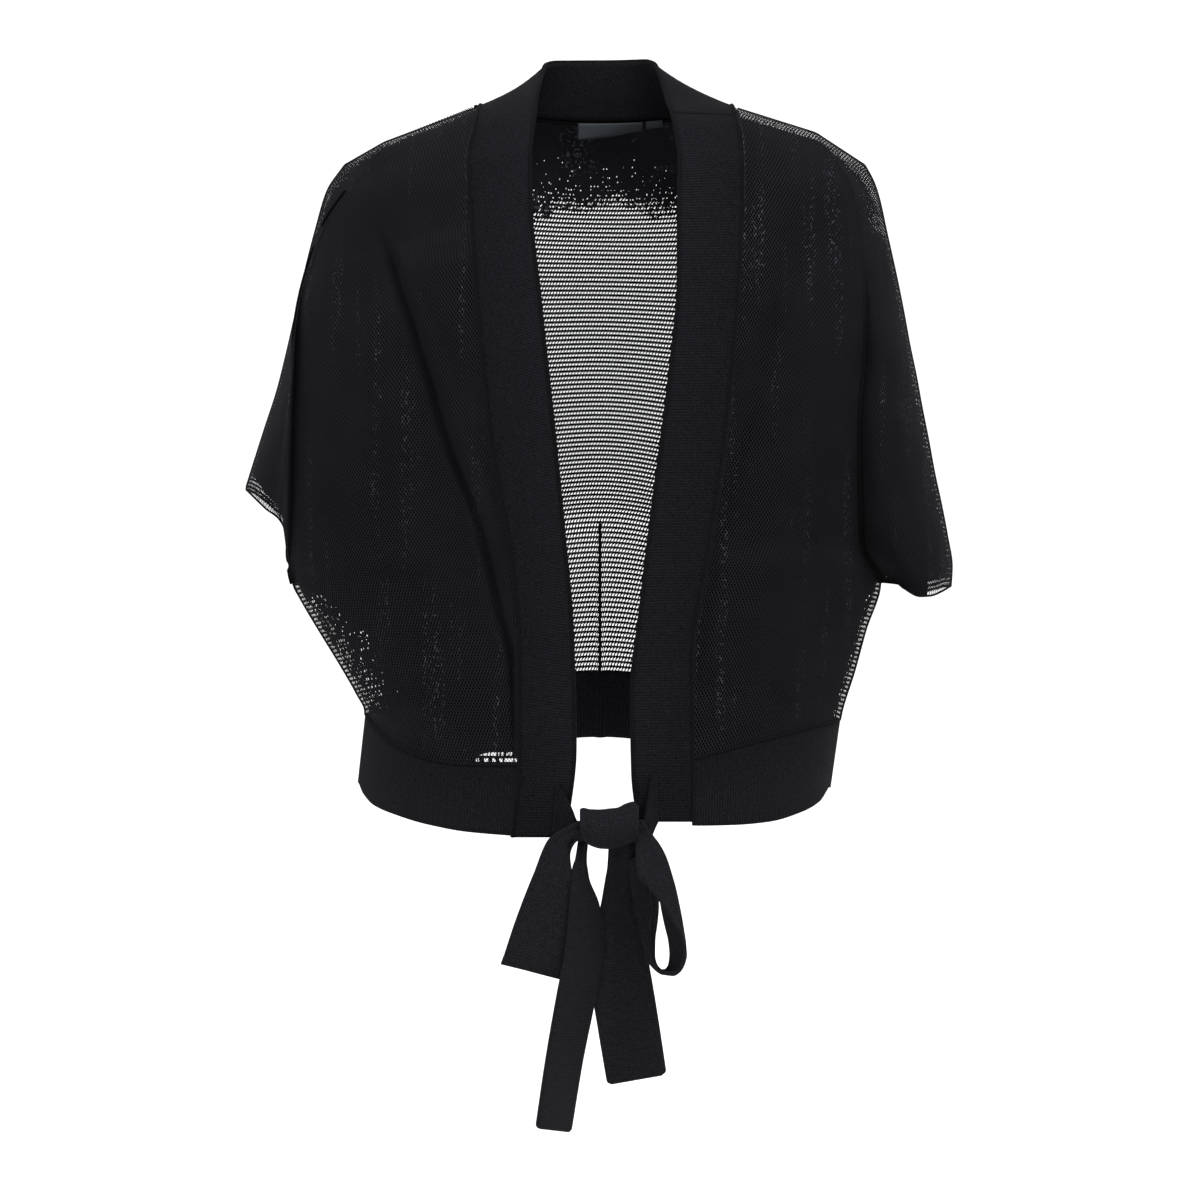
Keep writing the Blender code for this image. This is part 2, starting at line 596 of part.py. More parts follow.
# The knot is a short wrap round the loops, a tube open at both ends
turn = np.linspace(0, 2 * np.pi, 21)[:-1]
ring = np.array([KNOT_MIDDLE[0], KNOT_MIDDLE[1]]) + np.stack(
    [KNOT_HALF[0] * np.cos(turn), KNOT_HALF[1] * np.sin(turn)], -1
)
stops = np.linspace(KNOT_X[0], KNOT_X[1], 5)
pinch = 1 - 0.05 * (np.abs(np.linspace(-1, 1, 5)) ** 2)[:, None, None]
middle = np.array(KNOT_MIDDLE)
wrap = middle + (ring[None] - middle) * pinch
knot = true_place(np.tile(stops[:, None], (1, len(turn))), wrap[..., 0], wrap[..., 1])
closed_knot = np.concatenate([knot, knot[:, :1]], 1)


def from_knot(points):
    return points - true_place(points[:, 0], *np.broadcast_to(middle[:, None], (2, len(points))))


wrap_object = shell("bow_knot", closed_knot, KNOT_WALL, from_knot, BLACK_RIB)
weld = wrap_object.modifiers.new("Weld", "WELD")
weld.merge_threshold = 0.00005
wrap_object.modifiers.move(1, 0)


def label_grid(rows, columns):
    """A small label that hangs inside the back neck, just before the seam."""
    x, top, bottom, swing = np.array(rows, float).T
    place = np.linspace(x[0], x[-1], columns + 1)
    seam = NECK_BACK * np.sqrt(1 - ((place - NECK_MIDDLE) / NECK_HALF) ** 2) - 4.6
    share = np.linspace(0, 1, 3)[:, None]
    grid = np.empty((3, columns + 1, 3))
    grid[..., 0] = place
    grid[..., 1] = seam + share**2 * np.interp(place, x, swing)
    grid[..., 2] = np.interp(place, x, top) * (1 - share) + np.interp(place, x, bottom) * share
    return grid


shell("neck_label", label_grid(LABEL_ROWS, 8), LABEL, toward_viewer, SLATE)
shell("size_tab", label_grid(TAB_ROWS, 3), LABEL, toward_viewer, SLATE)
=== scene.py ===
# %% [markdown]
# # A mesh-knit bolero with a rib band and a tie
#
# The real piece is a short open-front top, knitted in black yarn. Its fronts are a net of small diamonds.
# Inside the back, rows of wavy bars show, with a short link at each stitch. A close rib makes the band
# down the fronts and round the neck, the hem band and the tie, which is knotted in a bow.
# It is shown filled out as if worn, so the cloth keeps its hollow form here.

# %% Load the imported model
import bpy
import numpy as np
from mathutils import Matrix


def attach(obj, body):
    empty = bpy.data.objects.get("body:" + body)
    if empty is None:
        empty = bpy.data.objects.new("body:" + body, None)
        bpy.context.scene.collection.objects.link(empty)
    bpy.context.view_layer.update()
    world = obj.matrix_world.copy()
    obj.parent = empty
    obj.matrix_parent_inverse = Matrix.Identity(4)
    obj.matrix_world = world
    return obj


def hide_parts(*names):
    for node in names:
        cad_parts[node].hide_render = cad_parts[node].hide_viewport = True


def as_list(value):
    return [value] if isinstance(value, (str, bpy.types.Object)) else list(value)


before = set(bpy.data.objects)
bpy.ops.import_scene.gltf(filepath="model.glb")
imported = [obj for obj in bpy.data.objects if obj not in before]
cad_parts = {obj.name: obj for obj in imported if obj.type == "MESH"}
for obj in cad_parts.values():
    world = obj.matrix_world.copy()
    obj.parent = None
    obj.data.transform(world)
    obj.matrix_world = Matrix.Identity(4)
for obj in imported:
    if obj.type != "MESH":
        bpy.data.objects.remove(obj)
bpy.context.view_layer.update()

# %% [markdown]
# ## The camera
#
# The photograph was taken from about 2.4 m, level with the chest and turned down a little, with a long
# lens. A long lens keeps the near bow and the far back at nearly the same scale.

# %% Camera at the photograph's viewing angle
EYE_AWAY, EYE_DOWN, EYE_TILT = 2400.0, 182.0, 4.5
camera_data = bpy.data.cameras.new("camera")
camera_data.sensor_width, camera_data.lens = 36.0, 95.04
camera = bpy.data.objects.new("camera", camera_data)
camera.location = (0.0, -EYE_AWAY / 1000, -EYE_DOWN / 1000)
camera.rotation_euler = (np.radians(90.0 - EYE_TILT), 0.0, 0.0)
bpy.context.scene.collection.objects.link(camera)
bpy.context.scene.camera = camera
bpy.context.scene.view_settings.view_transform = "Standard"
print("camera", EYE_AWAY, "mm away, lens", camera_data.lens)

# %% [markdown]
# ## Sizes and outlines
#
# A pattern cutter would write down where each seam runs. The tables do that: each row is a drop below
# the shoulder and the distance of a seam from the middle, in millimetres, as seen from the front in the
# plane of the side seams. The wearer's left is +X. They are the same sizes that the solids have.

# %% Seam and outline tables
MM = 0.001
LEFT, RIGHT = 1, -1
FRONT, BACK = -1, 1
SEAM = 0.3
HEM_WIDTH = 52.0
ROUND_DROP, ROUND_SHARE, UNDERARM_SHARE = 55.0, 0.22, 0.74
SHOULDER_MID = 162.0
NECK_HALF, NECK_MIDDLE, NECK_BACK, NECK_DROP = 96.5, 4.5, 61.0, 8.0
# drop, x of the seam between front panel and front band, and of the band's opening edge
BAND_SEAM = {
    LEFT: [
        (0, 101), (20, 107), (47, 109), (125, 106), (243, 96), (335, 83), (414, 71), (499, 72), (560, 71),
    ],
    RIGHT: [
        (0, 92), (43, 101), (67, 99), (145, 94), (255, 83), (343, 68), (402, 63), (503, 63), (560, 69),
    ],
}
BAND_EDGE = {
    LEFT: [
        (0, 50), (47, 59), (125, 59), (204, 52), (291, 41), (375, 31), (443, 24), (503, 25), (560, 33),
    ],
    RIGHT: [
        (0, 44), (33, 51), (67, 52), (145, 45), (240, 35), (323, 27), (395, 21), (483, 19), (560, 28),
    ],
}
# drop, x of the armpit line and the side seam below it, of the overarm seam, and the armpit's depth
ARMPIT = {
    LEFT: [
        (19, 162), (60, 190), (110, 199), (169, 201), (240, 197), (327, 199),
        (357, 213), (394, 202), (424, 194), (463, 183), (520, 178),
    ],
    RIGHT: [
        (26, 162), (100, 213), (170, 230), (257, 234), (311, 235), (343, 236),
        (359, 233), (371, 227), (395, 213), (419, 198.5), (443, 185), (456, 179), (520, 184),
    ],
}
OVERARM = {
    LEFT: [
        (43, 199), (56, 206), (68, 210), (92, 215.5), (129, 224), (153, 229), (177, 233.6), (201, 238.8),
        (225, 243.4), (250, 248.6), (274, 253.2), (298, 258.6), (322, 263.4), (346, 267.2), (360, 266.5),
    ],
    RIGHT: [
        (43, 192), (62, 205), (91, 214), (121, 222), (151, 229), (181, 236),
        (212, 244), (242, 254), (285, 268),
    ],
}
ARMPIT_DEPTH = {
    LEFT: [
        (19, 30), (60, 42), (110, 50), (169, 52), (219, 50), (290, 38), (340, 16), (357, 0.5), (520, 0.5),
    ],
    RIGHT: [
        (19, 30), (60, 40), (110, 46), (169, 48), (219, 46), (290, 36), (340, 16), (357, 0.5), (520, 0.5),
    ],
}
# drop and half depth of the sleeve, depth of the chest and of the back
SLEEVE_DEPTH = [(43, 34), (100, 36), (200, 40), (300, 56), (360, 66)]
CHEST = [(0, 74), (60, 80), (120, 96), (200, 104), (300, 102), (400, 101), (520, 104)]
SHOULDER_BLADES = [(0, 84), (60, 92), (120, 102), (200, 104), (300, 99), (400, 99), (520, 104)]
SQUARENESS, REACH, TUCK = 2.35, 0.985, 0.13
FOLD_START, FOLD_FULL = 95.0, 190.0
# share of the inner line's drop at the underarm, and of the panel's width in which the folds fade in
INNER_SHARE, FOLD_FREE = 0.71, 0.02
HEM_AT_BAND = {LEFT: 492.0, RIGHT: 497.0}
HEM_AT_SIDE = {LEFT: 462.0, RIGHT: 458.0}
HEM_AT_BACK = 435.0
PANEL_BEND = {LEFT: 1.0, RIGHT: 4.0}
# x, drop of the front hem bands' bottom edge, and their flare at the side seam
HEM_BOTTOM = {
    LEFT: [(60, 543), (76, 544), (102, 543.5), (129, 541), (155, 533), (168, 525), (175, 514)],
    RIGHT: [(60, 552), (102, 548.5), (132, 543), (155, 536), (173, 528), (181, 519), (185, 510)],
}
HEM_FLARE = {LEFT: -7.0, RIGHT: 6.0}
SHOULDER_AT_ARMPIT, OVERARM_TOP = {LEFT: 19.0, RIGHT: 26.0}, 43.0
UNDERARM = {LEFT: 357.0, RIGHT: 359.0}
SLEEVE_END = {LEFT: 360.0, RIGHT: 287.0}
# share from armpit to overarm, and how far the sleeve's edge hangs below a straight line
SLEEVE_DIP = {
    LEFT: [(0, 0), (0.25, 0.7), (0.42, 6.7), (0.55, 9.3), (0.72, 8.3), (0.88, 4.4), (1, 0)],
    RIGHT: [(0, 0), (0.1, -15), (0.2, -30), (0.6, -15), (1, 0)],
}
# Folds: (drop, x) path, how far from it, width and depth; a ridge has a negative depth
VALLEY = [
    (91, 169), (113, 158), (140, 150), (163, 142), (187, 135), (212, 127), (238, 120),
    (273, 107), (303, 95), (378, 76), (431, 64), (470, 62),
]
FOLDS = {
    LEFT: [
        ([(60, 172), (138, 146), (208, 124), (284, 108), (360, 96)], 0.0, 20.0, 6.0),
        ([(82, 160), (137, 140), (208, 116), (284, 96), (335, 84), (414, 72)], 0.0, 9.0, 3.5),
        ([(82, 160), (137, 140), (208, 116), (284, 96), (335, 84), (414, 72)], 13.0, 9.0, -2.5),
    ],
    RIGHT: [
        ([(60, 176), (145, 150), (208, 128), (324, 108), (384, 92), (444, 78)], 0.0, 20.0, 7.0),
        (VALLEY, 0.0, 3.8, 8.5),
        (VALLEY, -9.0, 5.0, -3.5),
        ([(137, 132), (189, 113), (235, 91), (295, 82), (343, 74)], 0.0, 9.0, 2.5),
        ([(98, 201), (144, 195), (189, 191), (235, 188)], 0.0, 9.0, 4.0),
    ],
}
# An upright pleat down the middle of the back
PLEAT_START, PLEAT_FADE, PLEAT_WIDTH, PLEAT_DEPTH = 300.0, 40, 2.6, 5.0
print("front from shoulder to hem:", HEM_AT_BAND[LEFT] + HEM_WIDTH, "mm")

# %% [markdown]
# ## The worn cloth as a function
#
# Each half of the garment is one sheet in two parameters. `u` runs across it, from the band seam or the
# centre back (0) to the armpit (1) and on to the overarm seam (2); `v` runs down it. The section at one
# height is a flattened round for the body and a smaller round for the sleeve, which meet in the armpit
# fold. A simulation could drape a flat cut on a form, but then nothing would lie where it was measured.

# %% Smooth lines and the cloth function
def line(rows):
    """A smooth line through (place, value) rows: cubic pieces whose slopes never swing past the points."""
    at = np.array([row[0] for row in rows], float)
    value = np.array([row[1] for row in rows], float)
    step = np.diff(at)
    rise = np.diff(value) / step
    slope = np.zeros(len(at))
    slope[0], slope[-1] = rise[0], rise[-1]
    same = rise[:-1] * rise[1:] > 0
    both = np.where(same, rise[:-1] + rise[1:], 1.0)
    slope[1:-1] = np.where(same, 2 * rise[:-1] * rise[1:] / both, 0.0)

    def read(place):
        place = np.clip(place, at[0], at[-1])
        i = np.clip(np.searchsorted(at, place) - 1, 0, len(at) - 2)
        t = (place - at[i]) / step[i]
        start = (1 + 2 * t) * (1 - t) ** 2 * value[i] + t * (1 - t) ** 2 * step[i] * slope[i]
        end = t**2 * (3 - 2 * t) * value[i + 1] + t**2 * (t - 1) * step[i] * slope[i + 1]
        return start + end

    return read


def true_place(x, y, z):
    """A point seen at x, z in the measuring plane, moved along the line of sight to its depth y."""
    near = -y / EYE_AWAY
    return np.stack([x * (1 - near), y, z + (-EYE_DOWN - z) * near], -1)


def body_round(share):
    """Flattened round, (1 - (REACH share)^SQUARENESS)^(1 / SQUARENESS), brought to 0 at the armpit."""
    low = (1 - REACH**SQUARENESS) ** (1 / SQUARENESS)
    full = (1 - (REACH * np.clip(np.abs(share), 0, 1)) ** SQUARENESS) ** (1 / SQUARENESS)
    return (full - low) / (1 - low)


def join_fold(side, hand, x, drop, folded):
    """One round over body and sleeve, depth (1 - share^SQUARENESS)^(1 / SQUARENESS), eased into the fold."""
    share = np.clip((drop - FOLD_START) / (FOLD_FULL - FOLD_START), 0, 1)
    share = share**2 * (3 - 2 * share)
    depth = line(CHEST if side == FRONT else SHOULDER_BLADES)(drop)
    across = np.clip(x / line(OVERARM[hand])(drop), 0, 1)
    one_round = depth * (1 - across**SQUARENESS) ** (1 / SQUARENESS)
    return one_round + (folded - one_round) * share


def body_depth(side, hand, x, drop):
    """Depth of the body's section: the armpit's depth plus the rest of the chest's, times body_round."""
    depth = line(CHEST if side == FRONT else SHOULDER_BLADES)(drop)
    armpit = line(ARMPIT_DEPTH[hand])(drop)
    folded = armpit + (depth - armpit) * body_round(x / line(ARMPIT[hand])(drop))
    return join_fold(side, hand, x, drop, folded)


def fold_depth(hand, x, drop):
    """Sum of troughs depth exp(-(distance / width)^2), faded in and out along each fold's path."""
    sunk = np.zeros_like(x)
    for path, aside, width, depth in FOLDS[hand]:
        fade = 25 + 2 * width
        off = (x - aside - line(path)(drop)) / width
        start = np.clip((drop - path[0][0]) / fade, 0, 1)
        end = np.clip((path[-1][0] + fade - drop) / fade, 0, 1)
        sunk += depth * np.exp(-(off**2)) * start * end
    return sunk


def rows_of(top, underarm, bottom, v):
    """Drop of a guide line: top + ROUND_DROP (1 - cos angle) over the shoulder, then two straight runs."""
    round_end = top + ROUND_DROP
    angle = np.clip(v / ROUND_SHARE, 0, 1) * np.pi / 2
    upper = np.clip((v - ROUND_SHARE) / (UNDERARM_SHARE - ROUND_SHARE), 0, 1)
    lower = np.clip((v - UNDERARM_SHARE) / (1 - UNDERARM_SHARE), 0, 1)
    drop = top + ROUND_DROP * (1 - np.cos(angle))
    return drop + (underarm - round_end) * upper + (bottom - underarm) * lower, np.sin(angle)


def cloth(side, hand, u, v):
    """The worn cloth in millimetres: guide lines give x and drop, body_depth or a sleeve arc gives y."""
    body, arm = np.clip(u, 0, 1), np.clip(u - 1, 0, 1)
    if side == FRONT:
        slant = body ** (1 + (PANEL_BEND[hand] - 1) * np.clip(2 * v - 1, 0, 1) ** 2)
        inner_top, inner_bottom = 0.0, HEM_AT_BAND[hand]
        neck_y = 0.0
    else:
        across = body * SHOULDER_MID
        share = np.clip(np.abs(across - hand * NECK_MIDDLE) / NECK_HALF, 0, 1)
        neck_y = NECK_BACK * np.sqrt(1 - share**2)
        inner_top, inner_bottom = NECK_DROP * (1 - share**2), HEM_AT_BACK
        slant = body**2 * (3 - 2 * body)
    inner, lift = rows_of(inner_top, INNER_SHARE * inner_bottom, inner_bottom, v)
    armpit, _ = rows_of(SHOULDER_AT_ARMPIT[hand], UNDERARM[hand], HEM_AT_SIDE[hand], v)
    over, _ = rows_of(OVERARM_TOP, SLEEVE_END[hand], SLEEVE_END[hand], v)
    drop = inner + (armpit - inner) * slant
    if side == BACK:
        outer = np.clip((across - NECK_HALF) / (SHOULDER_MID - NECK_HALF), 0, 1)
        shoulder, _ = rows_of(SHOULDER_AT_ARMPIT[hand] * outer, UNDERARM[hand], HEM_AT_SIDE[hand], v)
        top_share = np.clip(1 - v / UNDERARM_SHARE, 0, 1)
        drop = drop + (np.where(across > NECK_HALF, shoulder, inner) - drop) * top_share
    x_inner = line(BAND_SEAM[hand])(inner) if side == FRONT else 0.0
    x_armpit = line(ARMPIT[hand])(armpit)
    x_over = line(OVERARM[hand])(over)
    turn = (TUCK + (1 - TUCK) * arm) * np.pi
    out = (np.cos(TUCK * np.pi) - np.cos(turn)) / (np.cos(TUCK * np.pi) + 1)
    x = x_inner + (x_armpit - x_inner) * body + (x_over - x_armpit) * out
    dip = line(SLEEVE_DIP[hand])(out) * np.clip(v / UNDERARM_SHARE, 0, 1) ** 5
    drop = np.where(u > 1, armpit + (over - armpit) * out + dip, drop)
    armpit_depth = line(ARMPIT_DEPTH[hand])(armpit)
    sleeve = armpit_depth * (1 + np.cos(turn)) / (1 + np.cos(TUCK * np.pi))
    sleeve = sleeve + line(SLEEVE_DEPTH)(over) * (np.sin(turn) - np.sin(TUCK * np.pi) * (1 - arm))
    depth = np.where(u > 1, join_fold(side, hand, x, drop, sleeve), body_depth(side, hand, x, drop))
    if side == FRONT:
        folds = np.where(u > 1, 0.0, fold_depth(hand, x, drop)) * lift
        depth = depth - folds * np.clip(body / FOLD_FREE, 0, 1)
    else:
        pleat = np.exp(-((x / PLEAT_WIDTH) ** 2)) * np.clip((drop - PLEAT_START) / PLEAT_FADE, 0, 1)
        depth = depth - PLEAT_DEPTH * pleat * (u <= 1)
    y = side * np.maximum(neck_y + (depth - neck_y) * lift, SEAM)
    if side == FRONT:
        return true_place(hand * x, y, -drop)
    return np.stack([hand * x, y, -drop], -1)


def read_points(at, length, points):
    """Points at the lengths at, on straight runs between points that lie at the lengths length."""
    return np.stack([np.interp(at, length, points[:, k]) for k in range(3)], -1)


def evenly(points, count, axis):
    """Spaces a grid's points evenly by length along one axis."""
    points = np.moveaxis(points, axis, 0)
    steps = np.linalg.norm(np.diff(points, axis=0), axis=-1)
    length = np.concatenate([np.zeros_like(steps[:1]), np.cumsum(steps, 0)]).reshape(len(points), -1)
    flat = points.reshape(len(points), -1, 3)
    out = np.empty((count + 1, flat.shape[1], 3))
    for column in range(flat.shape[1]):
        at = np.linspace(0, length[-1, column], count + 1)
        out[:, column] = read_points(at, length[:, column], flat[:, column])
    return np.moveaxis(out.reshape((count + 1,) + points.shape[1:]), 0, axis)


print("chest half width and depth:", cloth(FRONT, LEFT, np.array([0.99]), np.array([0.5])).round(1))

# %% [markdown]
# ## Materials
#
# The yarn is a matt black viscose or cotton blend: loosely spun, a little hairy, so it has no highlight
# but a faint grey bloom where light grazes the fibres. Knitted open it is the mesh; knitted close it is
# the rib, whose ridges run across the band. The bare label is a smooth woven polyester in slate grey.
# Specks of light that the yarn catches are painted into its colour as glints.

# %% Helpers for colours and nodes
def linear(hex_colour):
    """sRGB hex to linear light: c / 12.92 below 0.04045, else ((c + 0.055) / 1.055)^2.4."""
    c = np.array([int(hex_colour[i : i + 2], 16) for i in (1, 3, 5)]) / 255
    out = np.where(c <= 0.04045, c / 12.92, ((c + 0.055) / 1.055) ** 2.4)
    return (*[float(x) for x in out], 1.0)


def add(tree, kind, settings=None, links=None):
    """Adds a node, sets its properties or input sockets, and links others' outputs into it."""
    node = tree.nodes.new(kind)
    for key, value in (settings or {}).items():
        if isinstance(key, str) and hasattr(node, key):
            setattr(node, key, value)
        else:
            node.inputs[key].default_value = value
    for key, socket in (links or {}).items():
        tree.links.new(socket, node.inputs[key])
    return node


def blank(name):
    made = bpy.data.materials.new(name)
    made.use_nodes = True
    tree = made.node_tree
    shader = tree.nodes["Principled BSDF"]
    return made, tree, shader


def place_on(tree):
    """Places on the piece in metres."""
    return add(tree, "ShaderNodeTexCoord").outputs["Object"]


def noise(tree, place, scale, detail):
    """Noise whose blotches are about 1 / scale metres wide."""
    made = add(tree, "ShaderNodeTexNoise", {"Scale": scale, "Detail": detail}, {"Vector": place})
    return made.outputs["Fac"]


def spread(tree, value, low, high, bottom=0.0, top=1.0):
    """bottom + (top - bottom) (value - low) / (high - low), held between bottom and top."""
    settings = {"From Min": low, "From Max": high, "To Min": bottom, "To Max": top}
    return add(tree, "ShaderNodeMapRange", settings, {"Value": value}).outputs[0]


def arithmetic(tree, operation, *values):
    """A Math node on numbers and other nodes' outputs."""
    numbers = {i: value for i, value in enumerate(values) if isinstance(value, float)}
    sockets = {i: value for i, value in enumerate(values) if not isinstance(value, float)}
    return add(tree, "ShaderNodeMath", {"operation": operation, **numbers}, sockets).outputs[0]


def two_tones(tree, share, dark, light):
    """Colour dark + (light - dark) share."""
    tone = add(tree, "ShaderNodeValToRGB", {}, {"Fac": share})
    tone.color_ramp.elements[0].color = linear(dark)
    tone.color_ramp.elements[1].color = linear(light)
    return tone.outputs["Color"]


def dress(tree, shader, colour, height, strength, depth, roughness, specular):
    """Gives the shader its colour, a fine relief depth metres high, its roughness and its shine."""
    relief = add(tree, "ShaderNodeBump", {"Strength": strength, "Distance": depth}, {"Height": height})
    tree.links.new(colour, shader.inputs["Base Color"])
    tree.links.new(relief.outputs["Normal"], shader.inputs["Normal"])
    shader.inputs["Roughness"].default_value = roughness
    shader.inputs["Specular IOR Level"].default_value = specular


def hairy(shader):
    """Faint bloom of loose fibres."""
    shader.inputs["Sheen Weight"].default_value = 0.01
    shader.inputs["Sheen Roughness"].default_value = 0.5


# %% Yarn of the mesh
# Soft spun black yarn: tone wanders over some 35 mm, and fibres roughen it every half millimetre. Painted
# glints stand upright in streaks of light grey specks, some 10 mm wide at the fronts, with specks of about 2
# mm
def spun_yarn(name, dark, light, painted_glint=0.0, streaks=(95.0, 1.0, 6.0)):
    """Slow noise between two tones, fine relief, and a painted glint tone where streaks meet specks."""
    made, tree, shader = blank(name)
    place = place_on(tree)
    tone = two_tones(tree, noise(tree, place, 28.0, 2.0), dark, light)
    stretch = add(tree, "ShaderNodeMapping", {"Scale": streaks}, {"Vector": place})
    upright = spread(tree, noise(tree, stretch.outputs[0], 1.0, 1.0), 0.55, 0.7)
    glint_specks = spread(tree, noise(tree, place, 420.0, 1.0), 0.56, 0.68, top=painted_glint)
    both = arithmetic(tree, "MULTIPLY", upright, glint_specks)
    mixed = add(tree, "ShaderNodeMix", {"data_type": "RGBA"}, {"Factor": both, 6: tone})
    mixed.inputs[7].default_value = linear("#44444C")
    dress(tree, shader, mixed.outputs[2], noise(tree, place, 1900.0, 2.0), 0.3, 0.0002, 0.9, 0.02)
    hairy(shader)
    return made


# The mesh yarn and the closed yarn carry the painted glints
mesh_yarn = spun_yarn("soft_spun_black_yarn_mesh", "#141316", "#1E1D21", 0.8)
back_yarn = spun_yarn("soft_spun_black_yarn_back", "#0E0D0F", "#151416")
closed_yarn = spun_yarn("soft_spun_black_yarn_closed", "#121114", "#1D1C1F", 0.8, (30.0, 1.0, 45.0))
# Near-black ground: painted shade of the dark inside, seen through the fronts' holes
shade_ground_yarn = spun_yarn("soft_spun_black_yarn_shade_ground", "#030304", "#040405")
seam_yarn = spun_yarn("soft_spun_black_yarn_seam", "#080709", "#0C0B0D")

# %% Yarn of the rib
# The same yarn knitted close. Ridges run across the band every 2.1 mm, so the pattern follows the piece's
# own UV map, whose U is the length along the piece in metres and V the width. They stand out toward the
# opening edge, where the band is slack, and fade toward the seam, where it is drawn flat. A mottle of
# fibres, about 1 mm fine, breaks them up
# The colour follows the ridges' height, so the valleys between them are darker: painted shade. The mottle is
# the yarn's own uneven tone
RIB_PITCH = 0.0021


def rib_knit(name, dark, light, slack_width):
    """Height and colour: 0.45 (0.5 + 0.5 sin(2 pi U / RIB_PITCH)), which grows over slack_width, plus 0.55
    mottle. The darker valleys are painted shade.
    """
    made, tree, shader = blank(name)
    along_band = add(tree, "ShaderNodeUVMap", {"uv_map": "length"}).outputs["UV"]
    split = add(tree, "ShaderNodeSeparateXYZ", {}, {"Vector": along_band})
    turns = arithmetic(tree, "MULTIPLY", split.outputs["X"], 2 * np.pi / RIB_PITCH)
    rise = arithmetic(tree, "MULTIPLY_ADD", arithmetic(tree, "SINE", turns), 0.5, 0.5)
    grow = spread(tree, split.outputs["Y"], 0.0, slack_width, bottom=0.4)
    ribs = arithmetic(tree, "MULTIPLY", arithmetic(tree, "MULTIPLY", rise, grow), 0.45)
    mottle = spread(tree, noise(tree, place_on(tree), 900.0, 3.0), 0.32, 0.68)
    uneven = arithmetic(tree, "MULTIPLY_ADD", mottle, 0.55, ribs)
    dress(tree, shader, two_tones(tree, uneven, dark, light), uneven, 0.7, 0.0005, 0.92, 0.02)
    hairy(shader)
    return made


rib_yarn = rib_knit("soft_spun_black_yarn_rib", "#040405", "#17161A", 0.045)
tie_yarn = rib_knit("soft_spun_black_yarn_tie", "#08080A", "#1F1E22", 0.4)

# %% Label cloth
# Damask-woven polyester ribbon: smooth with a faint weave, drawn 1.1 mm wide so that it shows
label_cloth, tree, shader = blank("woven_polyester_label")
diagonal = {"Scale": 390.0, "bands_direction": "DIAGONAL"}
weave = add(tree, "ShaderNodeTexWave", diagonal, {"Vector": place_on(tree)}).outputs["Fac"]
dress(tree, shader, two_tones(tree, weave, "#1E2124", "#26292E"), weave, 0.3, 0.0002, 0.55, 0.1)
print("materials:", [m.name for m in bpy.data.materials])

# %% [markdown]
# ## The mesh knit
#
# Close up, the fronts are a net of small diamonds, like a fine fishnet. In the back the stitches are
# drawn out: wavy bars of yarn show, with one link at each stitch. A see-through texture would look flat
# at the folds, so the yarns are real, each a short strand. Rows follow the cloth evenly, and stitches are
# counted along each row from one reference line, so that the cut edges cross the stitches as scissors
# would.

# %% Grid of one panel's rows
# Stitch width in mm, rows above and below the underarm, and points across the body and across the sleeve
WALE = 2.4
ROWS_UP, ROWS_LOW = {FRONT: 196, BACK: 90}, {FRONT: 62, BACK: 32}
SAMPLES = 150


def panel_rows(side, hand):
    """Rows of points on a half panel, evenly spaced down each column; below the underarm only the body."""
    body_u = np.linspace(0, 1, SAMPLES)
    arm_u = np.linspace(1, 2, SAMPLES)[1:]
    u_all = np.concatenate([body_u, arm_u])
    fine = np.linspace(0, UNDERARM_SHARE, 300)
    upper = evenly(cloth(side, hand, *np.meshgrid(u_all, fine)), ROWS_UP[side], 0)
    fine = np.linspace(UNDERARM_SHARE, 1, 120)
    lower = evenly(cloth(side, hand, *np.meshgrid(body_u, fine)), ROWS_LOW[side], 0)
    empty = np.full((ROWS_LOW[side], len(arm_u), 3), np.nan)
    return np.concatenate([upper, np.concatenate([lower[1:], empty], 1)], 0)


def outward_normals(rows, side):
    """Unit cross product of the grid's two directions, turned to point away from the hollow."""
    across = np.gradient(rows, axis=1)
    down = np.gradient(rows, axis=0)
    down = np.where(np.isnan(down), np.roll(down, 1, 0), down)
    normal = np.cross(across, down)
    normal /= np.linalg.norm(normal, axis=-1, keepdims=True) + 1e-9
    middle = np.nanmean(normal[..., 1])
    return normal * (1 if middle * side > 0 else -1)


def stitches(rows, normals, reference):
    """Stitch places along every row, one wale apart and half a stitch over in every other row."""
    count = 0
    found = []
    for j in range(len(rows)):
        here = np.flatnonzero(~np.isnan(rows[j, :, 0]))
        points = rows[j, here]
        normal = np.nan_to_num(normals[j, here])
        step = np.linalg.norm(np.diff(points, axis=0), axis=-1)
        length = np.concatenate([[0], np.cumsum(step)])
        length = length - length[np.searchsorted(here, reference)]
        shift = 0.5 * WALE * (j % 2)
        low = int(np.floor((length[0] - shift) / WALE))
        high = int(np.ceil((length[-1] - shift) / WALE))
        at = np.clip(np.arange(low, high + 1) * WALE + shift, length[0], length[-1])
        found.append((low, read_points(at, length, points), read_points(at, length, normal)))
        count = max(count, -low, high + 1)
    size = 2 * count + 2
    place = np.full((len(rows), size, 3), np.nan)
    facing = np.full((len(rows), size, 3), np.nan)
    for j, (low, points, normal) in enumerate(found):
        place[j, low + count : low + count + len(points)] = points
        facing[j, low + count : low + count + len(points)] = normal
    facing /= np.linalg.norm(facing, axis=-1, keepdims=True) + 1e-9
    return place, facing


def unit(vectors):
    return vectors / (np.linalg.norm(vectors, axis=-1, keepdims=True) + 1e-9)


# Strands between rows that are shorter or longer than this many mm are left out. One end of a link lies
# TILT mm in front of its row and the other TILT behind, and bars lie BAR_OUT in front
SHORTEST, LONGEST, TILT, BAR_OUT = 0.7, 9.0, 0.15, 0.1


